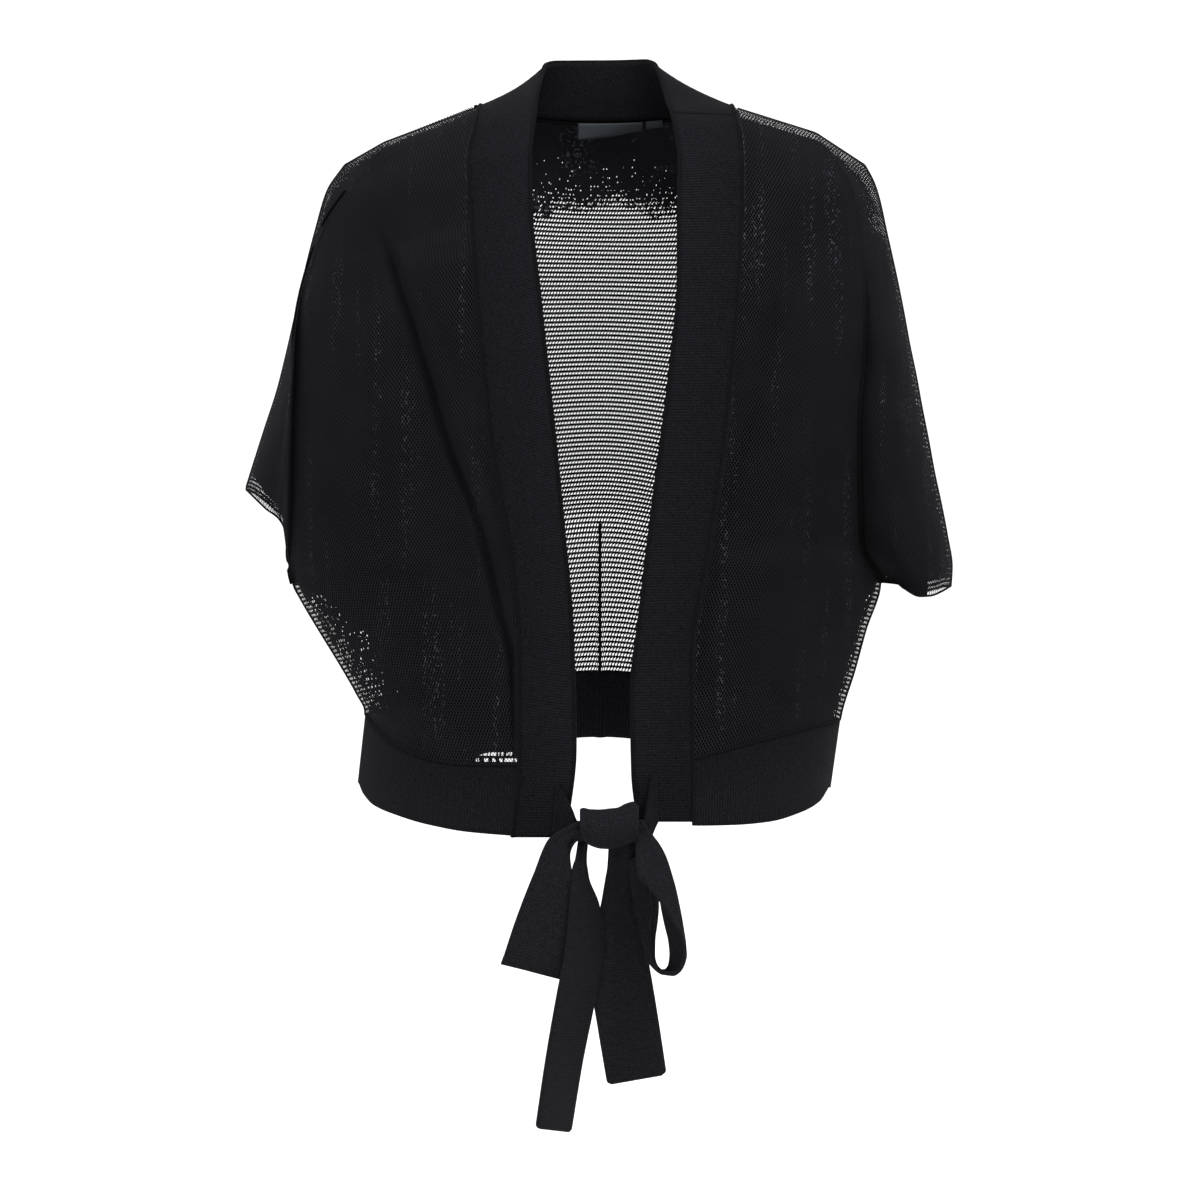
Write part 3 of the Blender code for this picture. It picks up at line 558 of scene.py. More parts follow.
def flat_strips(start, end, normal, half_width):
    """Flat strands: at each end the points p - b w and p + b w, where b is the unit of t x n."""
    side = unit(np.cross(end - start, normal)) * half_width
    points = np.stack([start - side, start + side, end + side, end - side], 1)
    return points.reshape(-1, 3), 4 * np.arange(len(start))[:, None] + np.arange(4)


def roof_strips(start, end, normal, half_width, height):
    """Strands with a raised middle: at each end the points p - b w, p + n h and p + b w."""
    side, top = unit(np.cross(end - start, normal)) * half_width, normal * height
    points = np.stack([start - side, start + top, start + side, end - side, end + top, end + side], 1)
    base = 6 * np.arange(len(start))[:, None]
    faces = np.concatenate([base + [0, 1, 4, 3], base + [1, 2, 5, 4]])
    return points.reshape(-1, 3), faces


def zigzag(place, facing, one_way=False):
    """Start, end and facing of the strands down to the next row, to one neighbour there or to both."""
    good = ~np.isnan(place[..., 0])
    rows, size = good.shape
    j, i = np.meshgrid(np.arange(rows - 1), np.arange(size - 1), indexing="ij")
    odd = j % 2
    found = []
    neighbours = (i - 1 + odd,) if one_way else (i - 1 + odd, i + odd)
    for neighbour in neighbours:
        a, b, c, d = (x.ravel() for x in (j, i, j + 1, neighbour))
        ok = (d >= 0) & good[a, b] & good[c, d]
        a, b, c, d = a[ok], b[ok], c[ok], d[ok]
        length = np.linalg.norm(place[c, d] - place[a, b], axis=-1)
        ok = (length > SHORTEST) & (length < LONGEST)
        found.append((place[a, b][ok], place[c, d][ok], unit(facing[a, b] + facing[c, d])[ok]))
    return [np.concatenate([pair[k] for pair in found]) for k in range(3)]


def bars(place, facing, sag):
    """Start, end and facing of the strands along the rows; each stitch hangs sag below its two ends."""
    good = ~np.isnan(place[..., 0])
    j, i = np.nonzero(good[:, :-1] & good[:, 1:])
    start, end, normal = place[j, i], place[j, i + 1], facing[j, i]
    middle = (start + end) / 2 + [0, 0, -sag]
    first, last = np.concatenate([start, middle]), np.concatenate([middle, end])
    ok = np.linalg.norm(last - first, axis=-1) > 0.05
    return first[ok], last[ok], np.tile(normal, (2, 1))[ok]


def knit(web_strands, bar_strands, web, bar):
    """The links as flat strands, tilted, and any bars as roof strands."""
    start, end, normal = web_strands
    points, faces = flat_strips(start + TILT * normal, end - TILT * normal, normal, web)
    if bar is None:
        return points, faces
    start, end, normal = bar_strands
    more, quads = roof_strips(start + BAR_OUT * normal, end + BAR_OUT * normal, normal, *bar)
    return np.concatenate([points, more]), np.concatenate([faces, quads + len(points)])


def grid_faces(index):
    """The four-sided faces of a grid of point numbers."""
    return np.stack([index[:-1, :-1], index[:-1, 1:], index[1:, 1:], index[1:, :-1]], -1)


def face_normals(points, faces):
    """Cross product of each face's diagonals, which is twice its area long."""
    p = points[faces]
    return np.cross(p[:, 2] - p[:, 0], p[:, 3] - p[:, 1])


def make_mesh(name, points, faces, material, uv=None, smooth=True):
    """Puts whole arrays of points (in millimetres) and four-sided faces into a new object's mesh."""
    mesh = bpy.data.meshes.new(name)
    mesh.vertices.add(len(points))
    mesh.vertices.foreach_set("co", (points * MM).astype(np.float32).ravel())
    mesh.loops.add(4 * len(faces))
    mesh.loops.foreach_set("vertex_index", faces.astype(np.int32).ravel())
    mesh.polygons.add(len(faces))
    mesh.polygons.foreach_set("loop_start", 4 * np.arange(len(faces), dtype=np.int32))
    if uv is not None:
        layer = mesh.uv_layers.new(name="length")
        layer.data.foreach_set("uv", uv[faces.ravel()].astype(np.float32).ravel())
    mesh.update(calc_edges=True)
    mesh.validate()
    if smooth:
        mesh.shade_smooth()
    mesh.materials.append(material)
    made = bpy.data.objects.new(name, mesh)
    bpy.context.scene.collection.objects.link(made)
    return made


# %% Knit the two fronts
# Two flat strands at each stitch, of this half width, form a net of diamonds. Stitches are counted from
# the column FRONT_START of the grid, half way from the band to the armpit
FRONT_WEB, FRONT_START = 0.22, 75
panels, front_rows = {}, {}
for name, hand in (("knit_front_left", LEFT), ("knit_front_right", RIGHT)):
    rows = panel_rows(FRONT, hand)
    normals = outward_normals(rows, FRONT)
    place, facing = stitches(rows, normals, FRONT_START)
    points, faces = knit(zigzag(place, facing), None, FRONT_WEB, None)
    panels[name] = make_mesh(name, points, faces, mesh_yarn, smooth=False)
    front_rows[hand] = (rows, normals)
    print(name, 2 * len(faces), "triangles")

# %% Knit the back
# Both halves are knitted in one, counted from the middle, so that no line shows there. Drawn wide over the
# shoulders, its stitches stand open. The strands are dealt out to two pieces by the side that they lie on.
# Half width and height of a bar, half width of a link, and how far a bar sags in the middle of a stitch
BACK_BAR, BACK_WEB, BACK_SAG = (1.14, 0.45), 0.52, 0.8
halves = {hand: panel_rows(BACK, hand) for hand in (LEFT, RIGHT)}
back_rows = np.concatenate([halves[RIGHT][:, ::-1], halves[LEFT][:, 1:]], 1)
back_normals = outward_normals(back_rows, BACK)
place, facing = stitches(back_rows, back_normals, halves[RIGHT].shape[1] - 1)
for name, hand in (("knit_back_left", LEFT), ("knit_back_right", RIGHT)):
    kept = []
    for strands in (zigzag(place, facing, True), bars(place, facing, BACK_SAG)):
        here = (strands[0][:, 0] + strands[1][:, 0] > 0) == (hand == LEFT)
        kept.append([part[here] for part in strands])
    points, faces = knit(*kept, BACK_WEB, BACK_BAR)
    panels[name] = make_mesh(name, points, faces, back_yarn, smooth=False)
    print(name, 2 * len(faces), "triangles")

# %% [markdown]
# ## The closed ground of the knit
#
# In the photograph nothing shines through the fronts and the top of the back except along their outlines.
# What closes them there can't be seen. A thin smooth layer a little behind the strands stands for it here.
# On the fronts it is near black: painted shade of the dark inside, seen through the holes. At the top of the
# back it is of the same yarn as the strands. It has open cells near the outlines, where the white shows
# through.

# %% Ground layers
# Depth from the plane of the seams within which cells are open, and the share of them at that plane
OPEN_EDGE = {
    LEFT: {"overarm": (24.0, 0.35), "side": (22.0, 0.5), "shoulder": (36.0, 1.6)},
    RIGHT: {"overarm": (1.0, 0.0), "side": (58.0, 0.34), "shoulder": (20.0, 1.2)},
}
# Where these zones lie: z of the sleeve's top, z and slope of the shoulder's lower line, and its inner x
SLEEVE_TOP, SHOULDER_LOW, SHOULDER_SLOPE, SHOULDER_INNER = -60, -52, 0.2, 104
# The sleeves' open tips, and the slots just above the right hem as row, x from, x to, share of open cells
TIP_LEFT_Z, TIP_LEFT_X = -352, 244
TIP_RIGHT_Z, TIP_RIGHT_X, TIP_SHARE = -300, 236, 0.93
SLOTS = [(-3, 0, 86, 0.6), (-3, 86, 104, 0.2), (-5, 0, 92, 0.55)]
# mm that the ground lies behind the strands. Within CREASE_HALF columns of the armpit's crease it lies
# 1 + CREASE times as deep
FRONT_BEHIND, BACK_BEHIND, CREASE, CREASE_HALF = -1.0, -0.6, 1.5, 4
chance = np.random.default_rng(7)


def ground(name, rows, normals, gap, back_off, yarn):
    """The grid moved back_off along its normals. gap is the share of its cells that are left open."""
    points = rows + back_off * normals
    index = np.arange(points[..., 0].size).reshape(points.shape[:2])
    faces = grid_faces(index)
    closed = chance.random(faces.shape[:2]) >= gap[:-1, :-1]
    faces = faces[closed & ~np.isnan(points.reshape(-1, 3)[faces, 0]).any(-1)]
    used, faces = np.unique(faces, return_inverse=True)
    faces = faces.reshape(-1, 4)
    points = points.reshape(-1, 3)[used]
    normal = face_normals(points, faces)
    outward = normals.reshape(-1, 3)[used][faces].mean(1)
    faces = np.where(((normal * outward).sum(-1) < 0)[:, None], faces[:, ::-1], faces)
    made = make_mesh(name, points, faces, yarn)
    area = float(np.linalg.norm(normal, axis=-1).sum() / 2e6)
    print(name, 2 * len(faces), "triangles,", round(area, 4), "m2")
    return made


def open_share(rows, hand):
    """Share of open cells, peak (1 - |y| / far), near the outlines that show white in the photograph."""
    x, z = hand * rows[..., 0], rows[..., 2]
    zones = {
        "overarm": (np.arange(rows.shape[1]) > SAMPLES - 1)[None] & (z < SLEEVE_TOP),
        "side": (np.arange(rows.shape[0]) > ROWS_UP[FRONT] + 4)[:, None],
        "shoulder": (z > SHOULDER_LOW - SHOULDER_SLOPE * x) & (x > SHOULDER_INNER),
    }
    gap = np.zeros_like(x)
    for place, here in zones.items():
        far, peak = OPEN_EDGE[hand][place]
        near = peak * np.clip(1 - np.abs(rows[..., 1]) / far, 0, 1)
        gap = np.where(here, np.maximum(gap, near), gap)
    return gap


grounds = {}
columns = np.arange(2 * SAMPLES - 1) - (SAMPLES - 0.5)
deeper = (1 + CREASE * (np.abs(columns) < CREASE_HALF))[None, :, None]
for name, hand in (("ground_front_left", LEFT), ("ground_front_right", RIGHT)):
    rows, normals = front_rows[hand]
    gap = open_share(rows, hand)
    x, z = hand * rows[..., 0], rows[..., 2]
    if hand == RIGHT:
        gap[(z < TIP_RIGHT_Z + (x - TIP_RIGHT_X)) & (x > TIP_RIGHT_X)] = TIP_SHARE
        for row, near, far, share in SLOTS:
            gap[row, (x[row] > near) & (x[row] < far)] = share
    else:
        gap[(z < TIP_LEFT_Z) & (x > TIP_LEFT_X)] = 1
    grounds[name] = ground(name, rows, normals, gap, FRONT_BEHIND * deeper, shade_ground_yarn)


def refine(grid):
    """Puts a point midway between every two, down and across."""
    for axis in (0, 1):
        grid = np.moveaxis(grid, axis, 0)
        out = np.repeat(grid, 2, 0)[:-1]
        out[1::2] = (grid[:-1] + grid[1:]) / 2
        grid = np.moveaxis(out, 0, axis)
    return grid


# %% Ground of the back's top
# It thins out from THIN_FROM down, over THIN_OVER mm, and ends at about EDGE_AT in an uneven edge, which
# lies EDGE_STEP lower outside EDGE_MIDDLE and where FRAYED more of the cells are open. Near the shoulder
# seam, outside the neck, it is left out
BACK_TOP_ROWS = 32
THIN_FROM, THIN_OVER, THIN_SHARE = -26, 38, 0.12
EDGE_AT, EDGE_STEP, EDGE_MIDDLE, FRAYED = -67, 5, 38, 0.4
SEAM_NEAR, SEAM_INNER = 20, 92
top_rows, top_normals = refine(back_rows[:BACK_TOP_ROWS]), refine(back_normals[:BACK_TOP_ROWS])
x, y, z = np.moveaxis(top_rows, -1, 0)
edge = EDGE_AT + 2.5 * np.sin(x / 7) + 2 * np.sin(x / 17 + 1) - EDGE_STEP * (np.abs(x) > EDGE_MIDDLE)
gap = THIN_SHARE * np.clip((THIN_FROM - z) / THIN_OVER, 0, 1) ** 1.5
gap = gap + FRAYED * (z < edge + 3) + (z < edge - 5)
gap[(np.abs(y) < SEAM_NEAR) & (np.abs(x) > SEAM_INNER)] = 1
grounds["ground_back_top"] = ground("ground_back_top", top_rows, top_normals, gap, BACK_BEHIND, closed_yarn)

# %% [markdown]
# ## Rib bands
#
# The front band is a strip about 47 mm wide, knitted sideways, so its ridges run across it. The wearer's
# right one goes on round the back of the neck to a short seam over the left shoulder. The hem band hangs
# straight below the mesh.

# %% Strips of rib
# Round the back of the neck: x, y, z of the band's seam and x, y, z of its opening edge. The two front
# bands meet at row BAND_JOIN, each JOIN_HALF of a row from it
NECK_BAND = [
    (-96.6, -67.5, -43, -51, -66, -36),
    (-91.8, -41, -13, -48, -44, -9),
    (-90.2, -14, -0.5, -46.5, -24, 8),
    (-89.5, 2, 2.0, -44, 0, 22),
    (-79.2, 26.5, 0.9, -42, 21, 33),
    (-64, 41.3, -1.5, -35, 38, 37),
    (-32, 55.3, -4.9, -18, 52, 38.5),
    (0, 59.8, -6.2, 0, 57, 39),
    (32.5, 57.3, -5.4, 18, 54, 39),
    (65, 46.3, -2.5, 34, 42, 38.5),
    (88.2, 27.5, 1.0, 42, 22, 34),
    (99, 8, 2.2, 45, 2, 24),
    (99.2, -14, -0.5, 49, -20, 6),
    (101.5, -39, -13, 54, -44, -12),
    (104.2, -67, -43, 58, -62, -38),
]
BAND_JOIN, JOIN_HALF = 12.7, 0.012
RIB_WALL = 2.4
# mm over which the pleats fade away from the knot, and over which they start inside it
GATHER_FADE, GATHER_START = 16, 12


# mm that the band's edge lies inside the seam line
BAND_INSIDE = 0.9


def front_band_rows(hand, drops):
    """Both edges of a front band: seam and edge lines at each drop, laid on the chest."""
    drops = np.asarray(drops, float)
    both = []
    for x in (line(BAND_SEAM[hand])(drops) - BAND_INSIDE, line(BAND_EDGE[hand])(drops)):
        both.append(true_place(hand * x, -body_depth(FRONT, hand, x, drops), -drops))
    return np.concatenate(both, 1)


def through(table):
    """A smooth line through each column of a table, read by row number."""
    return [line(list(zip(np.arange(len(table)), table[:, i]))) for i in range(table.shape[1])]


def strip(rows, step, columns):
    """A strip through rows of two edges, or an edge, a crease and an edge; the crease is rounded across."""
    rows = np.array(rows, float)
    fine = np.linspace(0, len(rows) - 1, 14 * len(rows))
    guides = np.stack([read(fine) for read in through(rows)], -1)
    guides = guides.reshape(len(fine), -1, 3)
    at = np.linspace(0, guides.shape[1] - 1, columns + 1)
    low = np.minimum(at.astype(int), guides.shape[1] - 2)
    share = (at - low)[None, :, None]
    grid = guides[:, low] * (1 - share) + guides[:, low + 1] * share
    if guides.shape[1] > 2:
        for _ in range(3):
            grid[:, 1:-1] = (grid[:, :-2] + 2 * grid[:, 1:-1] + grid[:, 2:]) / 4
    middle = grid[:, columns // 2]
    length = np.linalg.norm(np.diff(middle, axis=0), axis=-1).sum()
    return evenly(grid, int(round(length / step)), 0)


def distance_along(grid):
    """Distance of each row from the first one, along the middle line."""
    middle = grid[:, grid.shape[1] // 2]
    return np.concatenate([[0], np.cumsum(np.linalg.norm(np.diff(middle, axis=0), axis=-1))])


def rounded_end(grid, radius):
    """Draws the edges in by radius - (radius^2 - (radius - d)^2)^0.5 at distance d from the last row."""
    along = distance_along(grid)
    left = np.clip(radius - (along[-1] - along), 0, radius)
    inset = radius - np.sqrt(radius**2 - left**2)
    width = np.linalg.norm(grid[:, -1] - grid[:, 0], axis=-1)
    middle = grid.mean(1, keepdims=True)
    return middle + (grid - middle) * (1 - 2 * np.minimum(inset, radius * 0.9) / width)[:, None, None]


def gathered(grid, ends, height, waves):
    """Pleats 2 height sin(2 pi waves share) exp(-distance / GATHER_FADE) that run out of the knot."""
    first = distance_along(grid)
    last = first[-1] - first
    near, far = 0.0, 1.0
    for place, along in (("last", first), ("first", last)):
        if ends != place:
            near = near + np.exp(-along / GATHER_FADE)
            far = far * np.clip(along / GATHER_START, 0, 1)
    normal = unit(np.cross(np.gradient(grid, axis=0), np.gradient(grid, axis=1)))
    wave = np.sin(2 * np.pi * waves * np.linspace(0, 1, grid.shape[1]))
    return grid + normal * (height * 2 * near * far)[:, None, None] * wave[None, :, None]


def cloth_piece(name, grid, wall, facing, material, inwards=True):
    """A grid as one piece of cloth, with its wall by Solidify and the length along it in its UV map."""
    rows, columns = grid.shape[:2]
    faces = grid_faces(np.arange(rows * columns).reshape(rows, columns)).reshape(-1, 4)
    points = grid.reshape(-1, 3)
    if (face_normals(points, faces) * facing(points[faces].mean(1))).sum() < 0:
        faces = faces[:, ::-1]
    length = distance_along(grid)
    width = np.linalg.norm(grid[rows // 2, -1] - grid[rows // 2, 0])
    uv = np.stack(np.broadcast_arrays(length[:, None], np.linspace(0, width, columns)[None]), -1) * MM
    made = make_mesh(name, points, faces, material, uv.reshape(-1, 2))
    solidify = made.modifiers.new("wall", "SOLIDIFY")
    solidify.thickness = wall * MM
    solidify.offset = -1.0 if inwards else 0.0
    print(name, round(float(length[-1])), "mm long")
    return made


def away_from_axis(points):
    return points * [1, 1, 0] - np.array([NECK_MIDDLE, 0, 0])


def away_from_neck(points):
    return (points - np.array([NECK_MIDDLE, 20.0, 0.0])) * [1, 1, 0]


down = {LEFT: np.linspace(75, 541, 40), RIGHT: np.linspace(75, 553, 40)}
neck = np.array(NECK_BAND, float)
to_join = np.linspace(0, BAND_JOIN - JOIN_HALF, 60)
from_join = np.linspace(BAND_JOIN + JOIN_HALF, len(neck) - 1, 8)
round_neck = np.stack([read(to_join) for read in through(neck)], -1)
past_join = np.stack([read(from_join) for read in through(neck)], -1)
right_grid = strip(np.concatenate([front_band_rows(RIGHT, down[RIGHT][::-1]), round_neck]), 3.0, 12)
left_grid = strip(np.concatenate([past_join, front_band_rows(LEFT, down[LEFT])]), 3.0, 12)
band_right = cloth_piece("rib_band_right", right_grid, RIB_WALL, away_from_neck, rib_yarn)
band_left = cloth_piece("rib_band_left", left_grid, RIB_WALL, away_from_neck, rib_yarn)

# %% Hem bands
# mm over which the flare, the lean along the front band and the drop at the side seam run out
FLARE_FROM, LEAN_OVER, SIDE_OVER = 60, 60, 12


def hem_grid(side, hand):
    """From the cloth's bottom edge to a bottom line: straight down at the back, HEM_BOTTOM at the front."""
    u = np.linspace(0, 1, 120)
    top = evenly(cloth(side, hand, u, np.ones_like(u))[:, None], 90, 0)[:, 0] + [0, 0, -2 * SEAM]
    share = np.linspace(0, 1, 13)[None, :, None]
    bottom = top + [0, 0, -HEM_WIDTH]
    widest = np.abs(top[:, 0]).max()
    outward = np.clip((np.abs(top[:, 0]) - FLARE_FROM) / (widest - FLARE_FROM), 0, 1)
    bottom[:, 0] += hand * HEM_FLARE[hand] * outward**2
    if side == FRONT:
        near = -bottom[:, 1] / EYE_AWAY
        drop = line(HEM_BOTTOM[hand])(hand * bottom[:, 0] / (1 - near))
        end = HEM_AT_SIDE[hand] + HEM_WIDTH + 2 * SEAM
        drop += (end - drop) * np.clip(1 + bottom[:, 1] / SIDE_OVER, 0, 1) ** 2
        bottom[:, 2] = -drop + (drop - EYE_DOWN) * near
    rows = top[:, None] * (1 - share) + bottom[:, None] * share
    if side == FRONT:
        seam = line(BAND_SEAM[hand])
        lean = seam(HEM_AT_BAND[hand] + HEM_WIDTH * share[..., 0]) - seam(HEM_AT_BAND[hand])
        reach = np.clip(1 - np.linalg.norm(top[:, :2] - top[0, :2], axis=1) / LEAN_OVER, 0, 1)[:, None]
        rows[..., 0] += hand * (lean - 0.4 * share[..., 0]) * reach
    return rows


back_half = {hand: hem_grid(BACK, hand) for hand in (LEFT, RIGHT)}
hem_back_grid = np.concatenate([back_half[RIGHT][::-1], back_half[LEFT][1:]], 0)
hem_back = cloth_piece("rib_hem_back", hem_back_grid, RIB_WALL, away_from_axis, rib_yarn)
hem_left = cloth_piece("rib_hem_left", hem_grid(FRONT, LEFT), RIB_WALL, away_from_axis, rib_yarn)
hem_right = cloth_piece("rib_hem_right", hem_grid(FRONT, RIGHT), RIB_WALL, away_from_axis, rib_yarn)

# %% [markdown]
# ## The bow
#
# The tie is one more strip of the rib, 47 mm wide. It is gathered to a third of that at the knot, opens
# into two loops and falls in two tails of unequal length. Each stretch is a strip between two edge lines.
# The loops and the starts are drawn without the folds that take up the rest of the width.

# %% Bow tables and pieces
# Edge one x, z, edge two x, z and the depth y of both, x and z as seen in the measuring plane
LOOP_RIGHT = [
    (4, -538.9, 4, -555.1, -121.7, -121.7),
    (-9, -540, -9, -554, -121.6, -121.6),
    (-17, -541.5, -17, -552.5, -121.8, -121.7),
    (-38, -553, -25, -561, -126, -121),
    (-51, -582, -21.3, -586, -127, -119.6),
    (-65, -618, -23.2, -628, -125, -119),
    (-74, -645, -26.5, -658, -121, -117.5),
    (-76, -650, -27, -663, -118, -115),
    (-74, -646, -26, -659, -113, -112),
    (-64, -619, -23, -629, -111, -110),
    (-50, -585, -20.5, -590, -112, -111),
    (-33, -559, -23, -566, -118, -117),
    (-17, -544, -17, -555, -119, -119),
    (-9, -538.9, -9, -555.1, -119, -119),
    (4, -538.9, 4, -555.1, -119, -119),
]
# Creased lengthwise: front edge x, z, crease x, z, back edge x, z, and the depth y of the three
LOOP_LEFT = [
    (10, -555, 10, -547, 10, -539, -121.6, -121.6, -121.6),
    (23, -554, 23, -547, 23, -539.5, -121.6, -121.6, -121.6),
    (29, -554, 33, -547, 33, -540, -122, -121.8, -121.6),
    (27.5, -568, 41, -553, 36, -551, -131, -127, -121.5),
    (29, -582, 50.5, -566.5, 40, -566, -138, -130, -121),
    (38, -592, 57, -585.5, 44, -585, -141, -132, -120),
    (46, -602, 61.3, -605, 47, -605, -142, -132, -119.5),
    (54, -614, 64.2, -622.5, 50, -620, -141, -131, -118.5),
    (61, -626, 65.7, -637, 53, -632.5, -139, -129, -117),
    (65, -640, 65.7, -645, 54, -643, -136, -127, -115),
    (63, -651, 62.3, -655, 53, -651.5, -132, -125, -112.5),
    (57.5, -657.5, 55.6, -659.4, 50, -655.5, -128, -121, -109.5),
    (50, -657.5, 48, -658.3, 47, -656, -124, -117, -107),
    (44.5, -654, 40.3, -652.6, 43.5, -652.6, -120, -113, -105),
    (40.6, -647, 35.5, -645.8, 41.5, -645, -117, -110, -103.5),
    (38.5, -634, 32.2, -633, 42, -632, -114, -107, -102.5),
    (38.2, -620.5, 28, -617, 44, -618.5, -112, -105.5, -102),
    (39.5, -609, 24.5, -600, 45, -605, -111.5, -105.5, -102),
    (38, -595.5, 22, -584, 43, -589.5, -112.5, -107, -103),
    (35, -581, 21.5, -572, 38, -575, -114.5, -111.5, -109),
    (36, -568, 33, -563, 38, -560, -118, -118.5, -118),
    (33, -555.5, 33, -549, 33, -542, -119, -119, -119),
    (21, -554.5, 21, -547, 21, -539.5, -119, -119, -119),
    (10, -555.1, 10, -547, 10, -538.9, -119, -119, -119),
]
TAIL_LONG = [
    (-14.5, -548, -9, -550, -107, -107),
    (-17, -562, -10.5, -563, -114, -112),
    (-21, -578, -9, -582, -121, -111),
    (-22, -596, -1, -606, -125, -97),
    (-26, -641, 2, -634, -127, -90),
    (-32, -672, -4, -676, -127, -90),
    (-41, -724, -14, -727, -126, -89),
    (-49, -779, -23, -782, -125, -87),
]
TAIL_WIDE = [
    (7, -551, 28, -550, -114, -114),
    (7, -560, 29.5, -560, -113, -113),
    (6, -573, 30.5, -571, -108, -108),
    (4, -585, 30, -582, -101, -100),
    (0.9, -603, 30.5, -598, -91, -95),
    (-4, -625, 33, -622, -82, -94),
    (-6, -645, 36, -643, -78, -94),
    (-5, -676, 41, -672, -77, -93),
    (-1.5, -700, 45, -697, -76, -93),
    (6, -745, 51, -737, -76, -93),
]
START_RIGHT = [
    (-33, -512, -36, -549, -103.9, -103.9),
    (-29, -517, -31, -551, -106, -106),
    (-22.5, -530, -23, -555.5, -112, -112),
    (-17.5, -540.6, -17.5, -554, -116, -116),
    (-8, -540.6, -8, -554, -116.3, -116.3),
    (4, -540.6, 4, -554, -116.3, -116.3),
]
START_LEFT = [
    (42, -504, 44, -541, -102.9, -102.9),
    (39.5, -510, 41, -547, -105.5, -105.5),
    (36, -528, 37, -554.5, -112, -112),
    (31.5, -540.6, 31.5, -554, -116, -116),
    (22, -540.6, 22, -554, -116.3, -116.3),
    (10, -540.6, 10, -554, -116.3, -116.3),
]


def tie_rows(table):
    """Guide lines of the bow, moved from the measuring plane to their depths."""
    rows = np.array(table, float)
    count = rows.shape[1] // 3
    guides = []
    for i in range(count):
        guides.append(true_place(rows[:, 2 * i], rows[:, 2 * count + i], rows[:, 2 * i + 1]))
    return np.concatenate(guides, 1)


def toward_front(points):
    return np.tile([0.0, -1.0, 0.0], (len(points), 1))


bow = {}
for name, table, ends, height in (
    ("tie_loop_right", LOOP_RIGHT, "both", 1.3),
    ("tie_loop_left", LOOP_LEFT, "both", 0.8),
    ("tie_tail_long", TAIL_LONG, "first", 1.3),
    ("tie_tail_wide", TAIL_WIDE, "first", 1.3),
    ("tie_begin_right", START_RIGHT, "last", 0.5),
    ("tie_begin_left", START_LEFT, "last", 0.5),
):
    grid = gathered(strip(tie_rows(table), 1.5, 18), ends, height, 2.0)
    if "tail" in name:
        grid = rounded_end(grid, 4.0)
    yarn = rib_yarn if "begin" in name else tie_yarn
    bow[name] = cloth_piece(name, grid, RIB_WALL, toward_front, yarn, inwards=False)

# %% The knot
# Ring round the bow's waist: x, middle and half height at that x, in the measuring plane
KNOT = [
    (-15.5, -540.5, 9.5), (-12.5, -542.5, 12.5), (-8, -545, 14), (1, -546.5, 15.2), (12, -545.8, 15.4),
    (20, -542.5, 15.9), (26, -540.8, 15.6), (29.5, -541.5, 12.5),
]
KNOT_DEPTH, KNOT_HALF_DEPTH, KNOT_WALL, KNOT_Z = -119.0, 13.5, 5.0, -547.0
# The ends roll in by ROLL from the share ROLL_FROM on; a slanting crease of CREASE_HIGH crosses the ring
ROLL, ROLL_FROM, ROLL_OVER = 0.2, 0.72, 0.28
CREASE_HIGH, CREASE_AT, CREASE_SLANT, CREASE_SHARP = 0.05, 0.55, 4, 3
turn = np.linspace(0, 2 * np.pi, 97)
ring_x = np.linspace(KNOT[0][0], KNOT[-1][0], 41)[:, None]
share = (ring_x - KNOT[0][0]) / (KNOT[-1][0] - KNOT[0][0])
end = np.abs(2 * share - 1)
roll = ROLL * np.clip((end - ROLL_FROM) / ROLL_OVER, 0, 1) ** 2
off = (share - CREASE_AT) * CREASE_SLANT - np.cos(turn)
crease = CREASE_HIGH * np.exp(-(off**2) * CREASE_SHARP) * (1 - end)
middle = line([row[:2] for row in KNOT])(ring_x)
half = line([row[::2] for row in KNOT])(ring_x)
ring_y = KNOT_DEPTH + KNOT_HALF_DEPTH * np.cos(turn) * (1 - roll + crease)
ring_z = middle + half * np.sin(turn) * (1 + 0.6 * crease)
knot_grid = np.swapaxes(true_place(ring_x + 0 * turn, ring_y, ring_z), 0, 1)


def from_knot(points):
    count = len(points)
    return points - true_place(points[:, 0], np.full(count, KNOT_DEPTH), np.full(count, KNOT_Z))


bow["tie_knot"] = cloth_piece("tie_knot", knot_grid, KNOT_WALL, from_knot, tie_yarn)

# %% [markdown]
# ## Seams
#
# The pieces are linked edge to edge, which leaves a firm narrow ridge along each seam, and the sleeve ends
# roll into a thin edge. The opening edge of the band ends in a fine chain.

# %% Seam ridges
RIDGE_STEP = 2.5


def ridge(name, path, radius):
    """Rings of eight points across a path, p + radius (a cos t + b sin t), closed by flat ends."""
    steps = np.linalg.norm(np.diff(path, axis=0), axis=-1)
    path = evenly(path[:, None], max(int(steps.sum() / RIDGE_STEP), 4), 0)[:, 0]
    along = unit(np.gradient(path, axis=0))
    first = unit(np.cross(along, [0.31, 0.52, 0.79]))
    second = np.cross(along, first)
    t = np.linspace(0, 2 * np.pi, 9)[:-1][None, :, None]
    ring = path[:, None] + radius * (first[:, None] * np.cos(t) + second[:, None] * np.sin(t))
    index = np.arange(8 * len(path)).reshape(-1, 8)
    turned = np.roll(index, -1, 1)
    faces = np.stack([index[:-1], turned[:-1], turned[1:], index[1:]], -1).reshape(-1, 4)
    ends = np.array([[0, 1, 2, 3], [0, 3, 4, 7], [4, 5, 6, 7]])
    faces = np.concatenate([faces, ends[:, ::-1], index[-1][ends]])
    return make_mesh(name, ring.reshape(-1, 3), faces, seam_yarn)


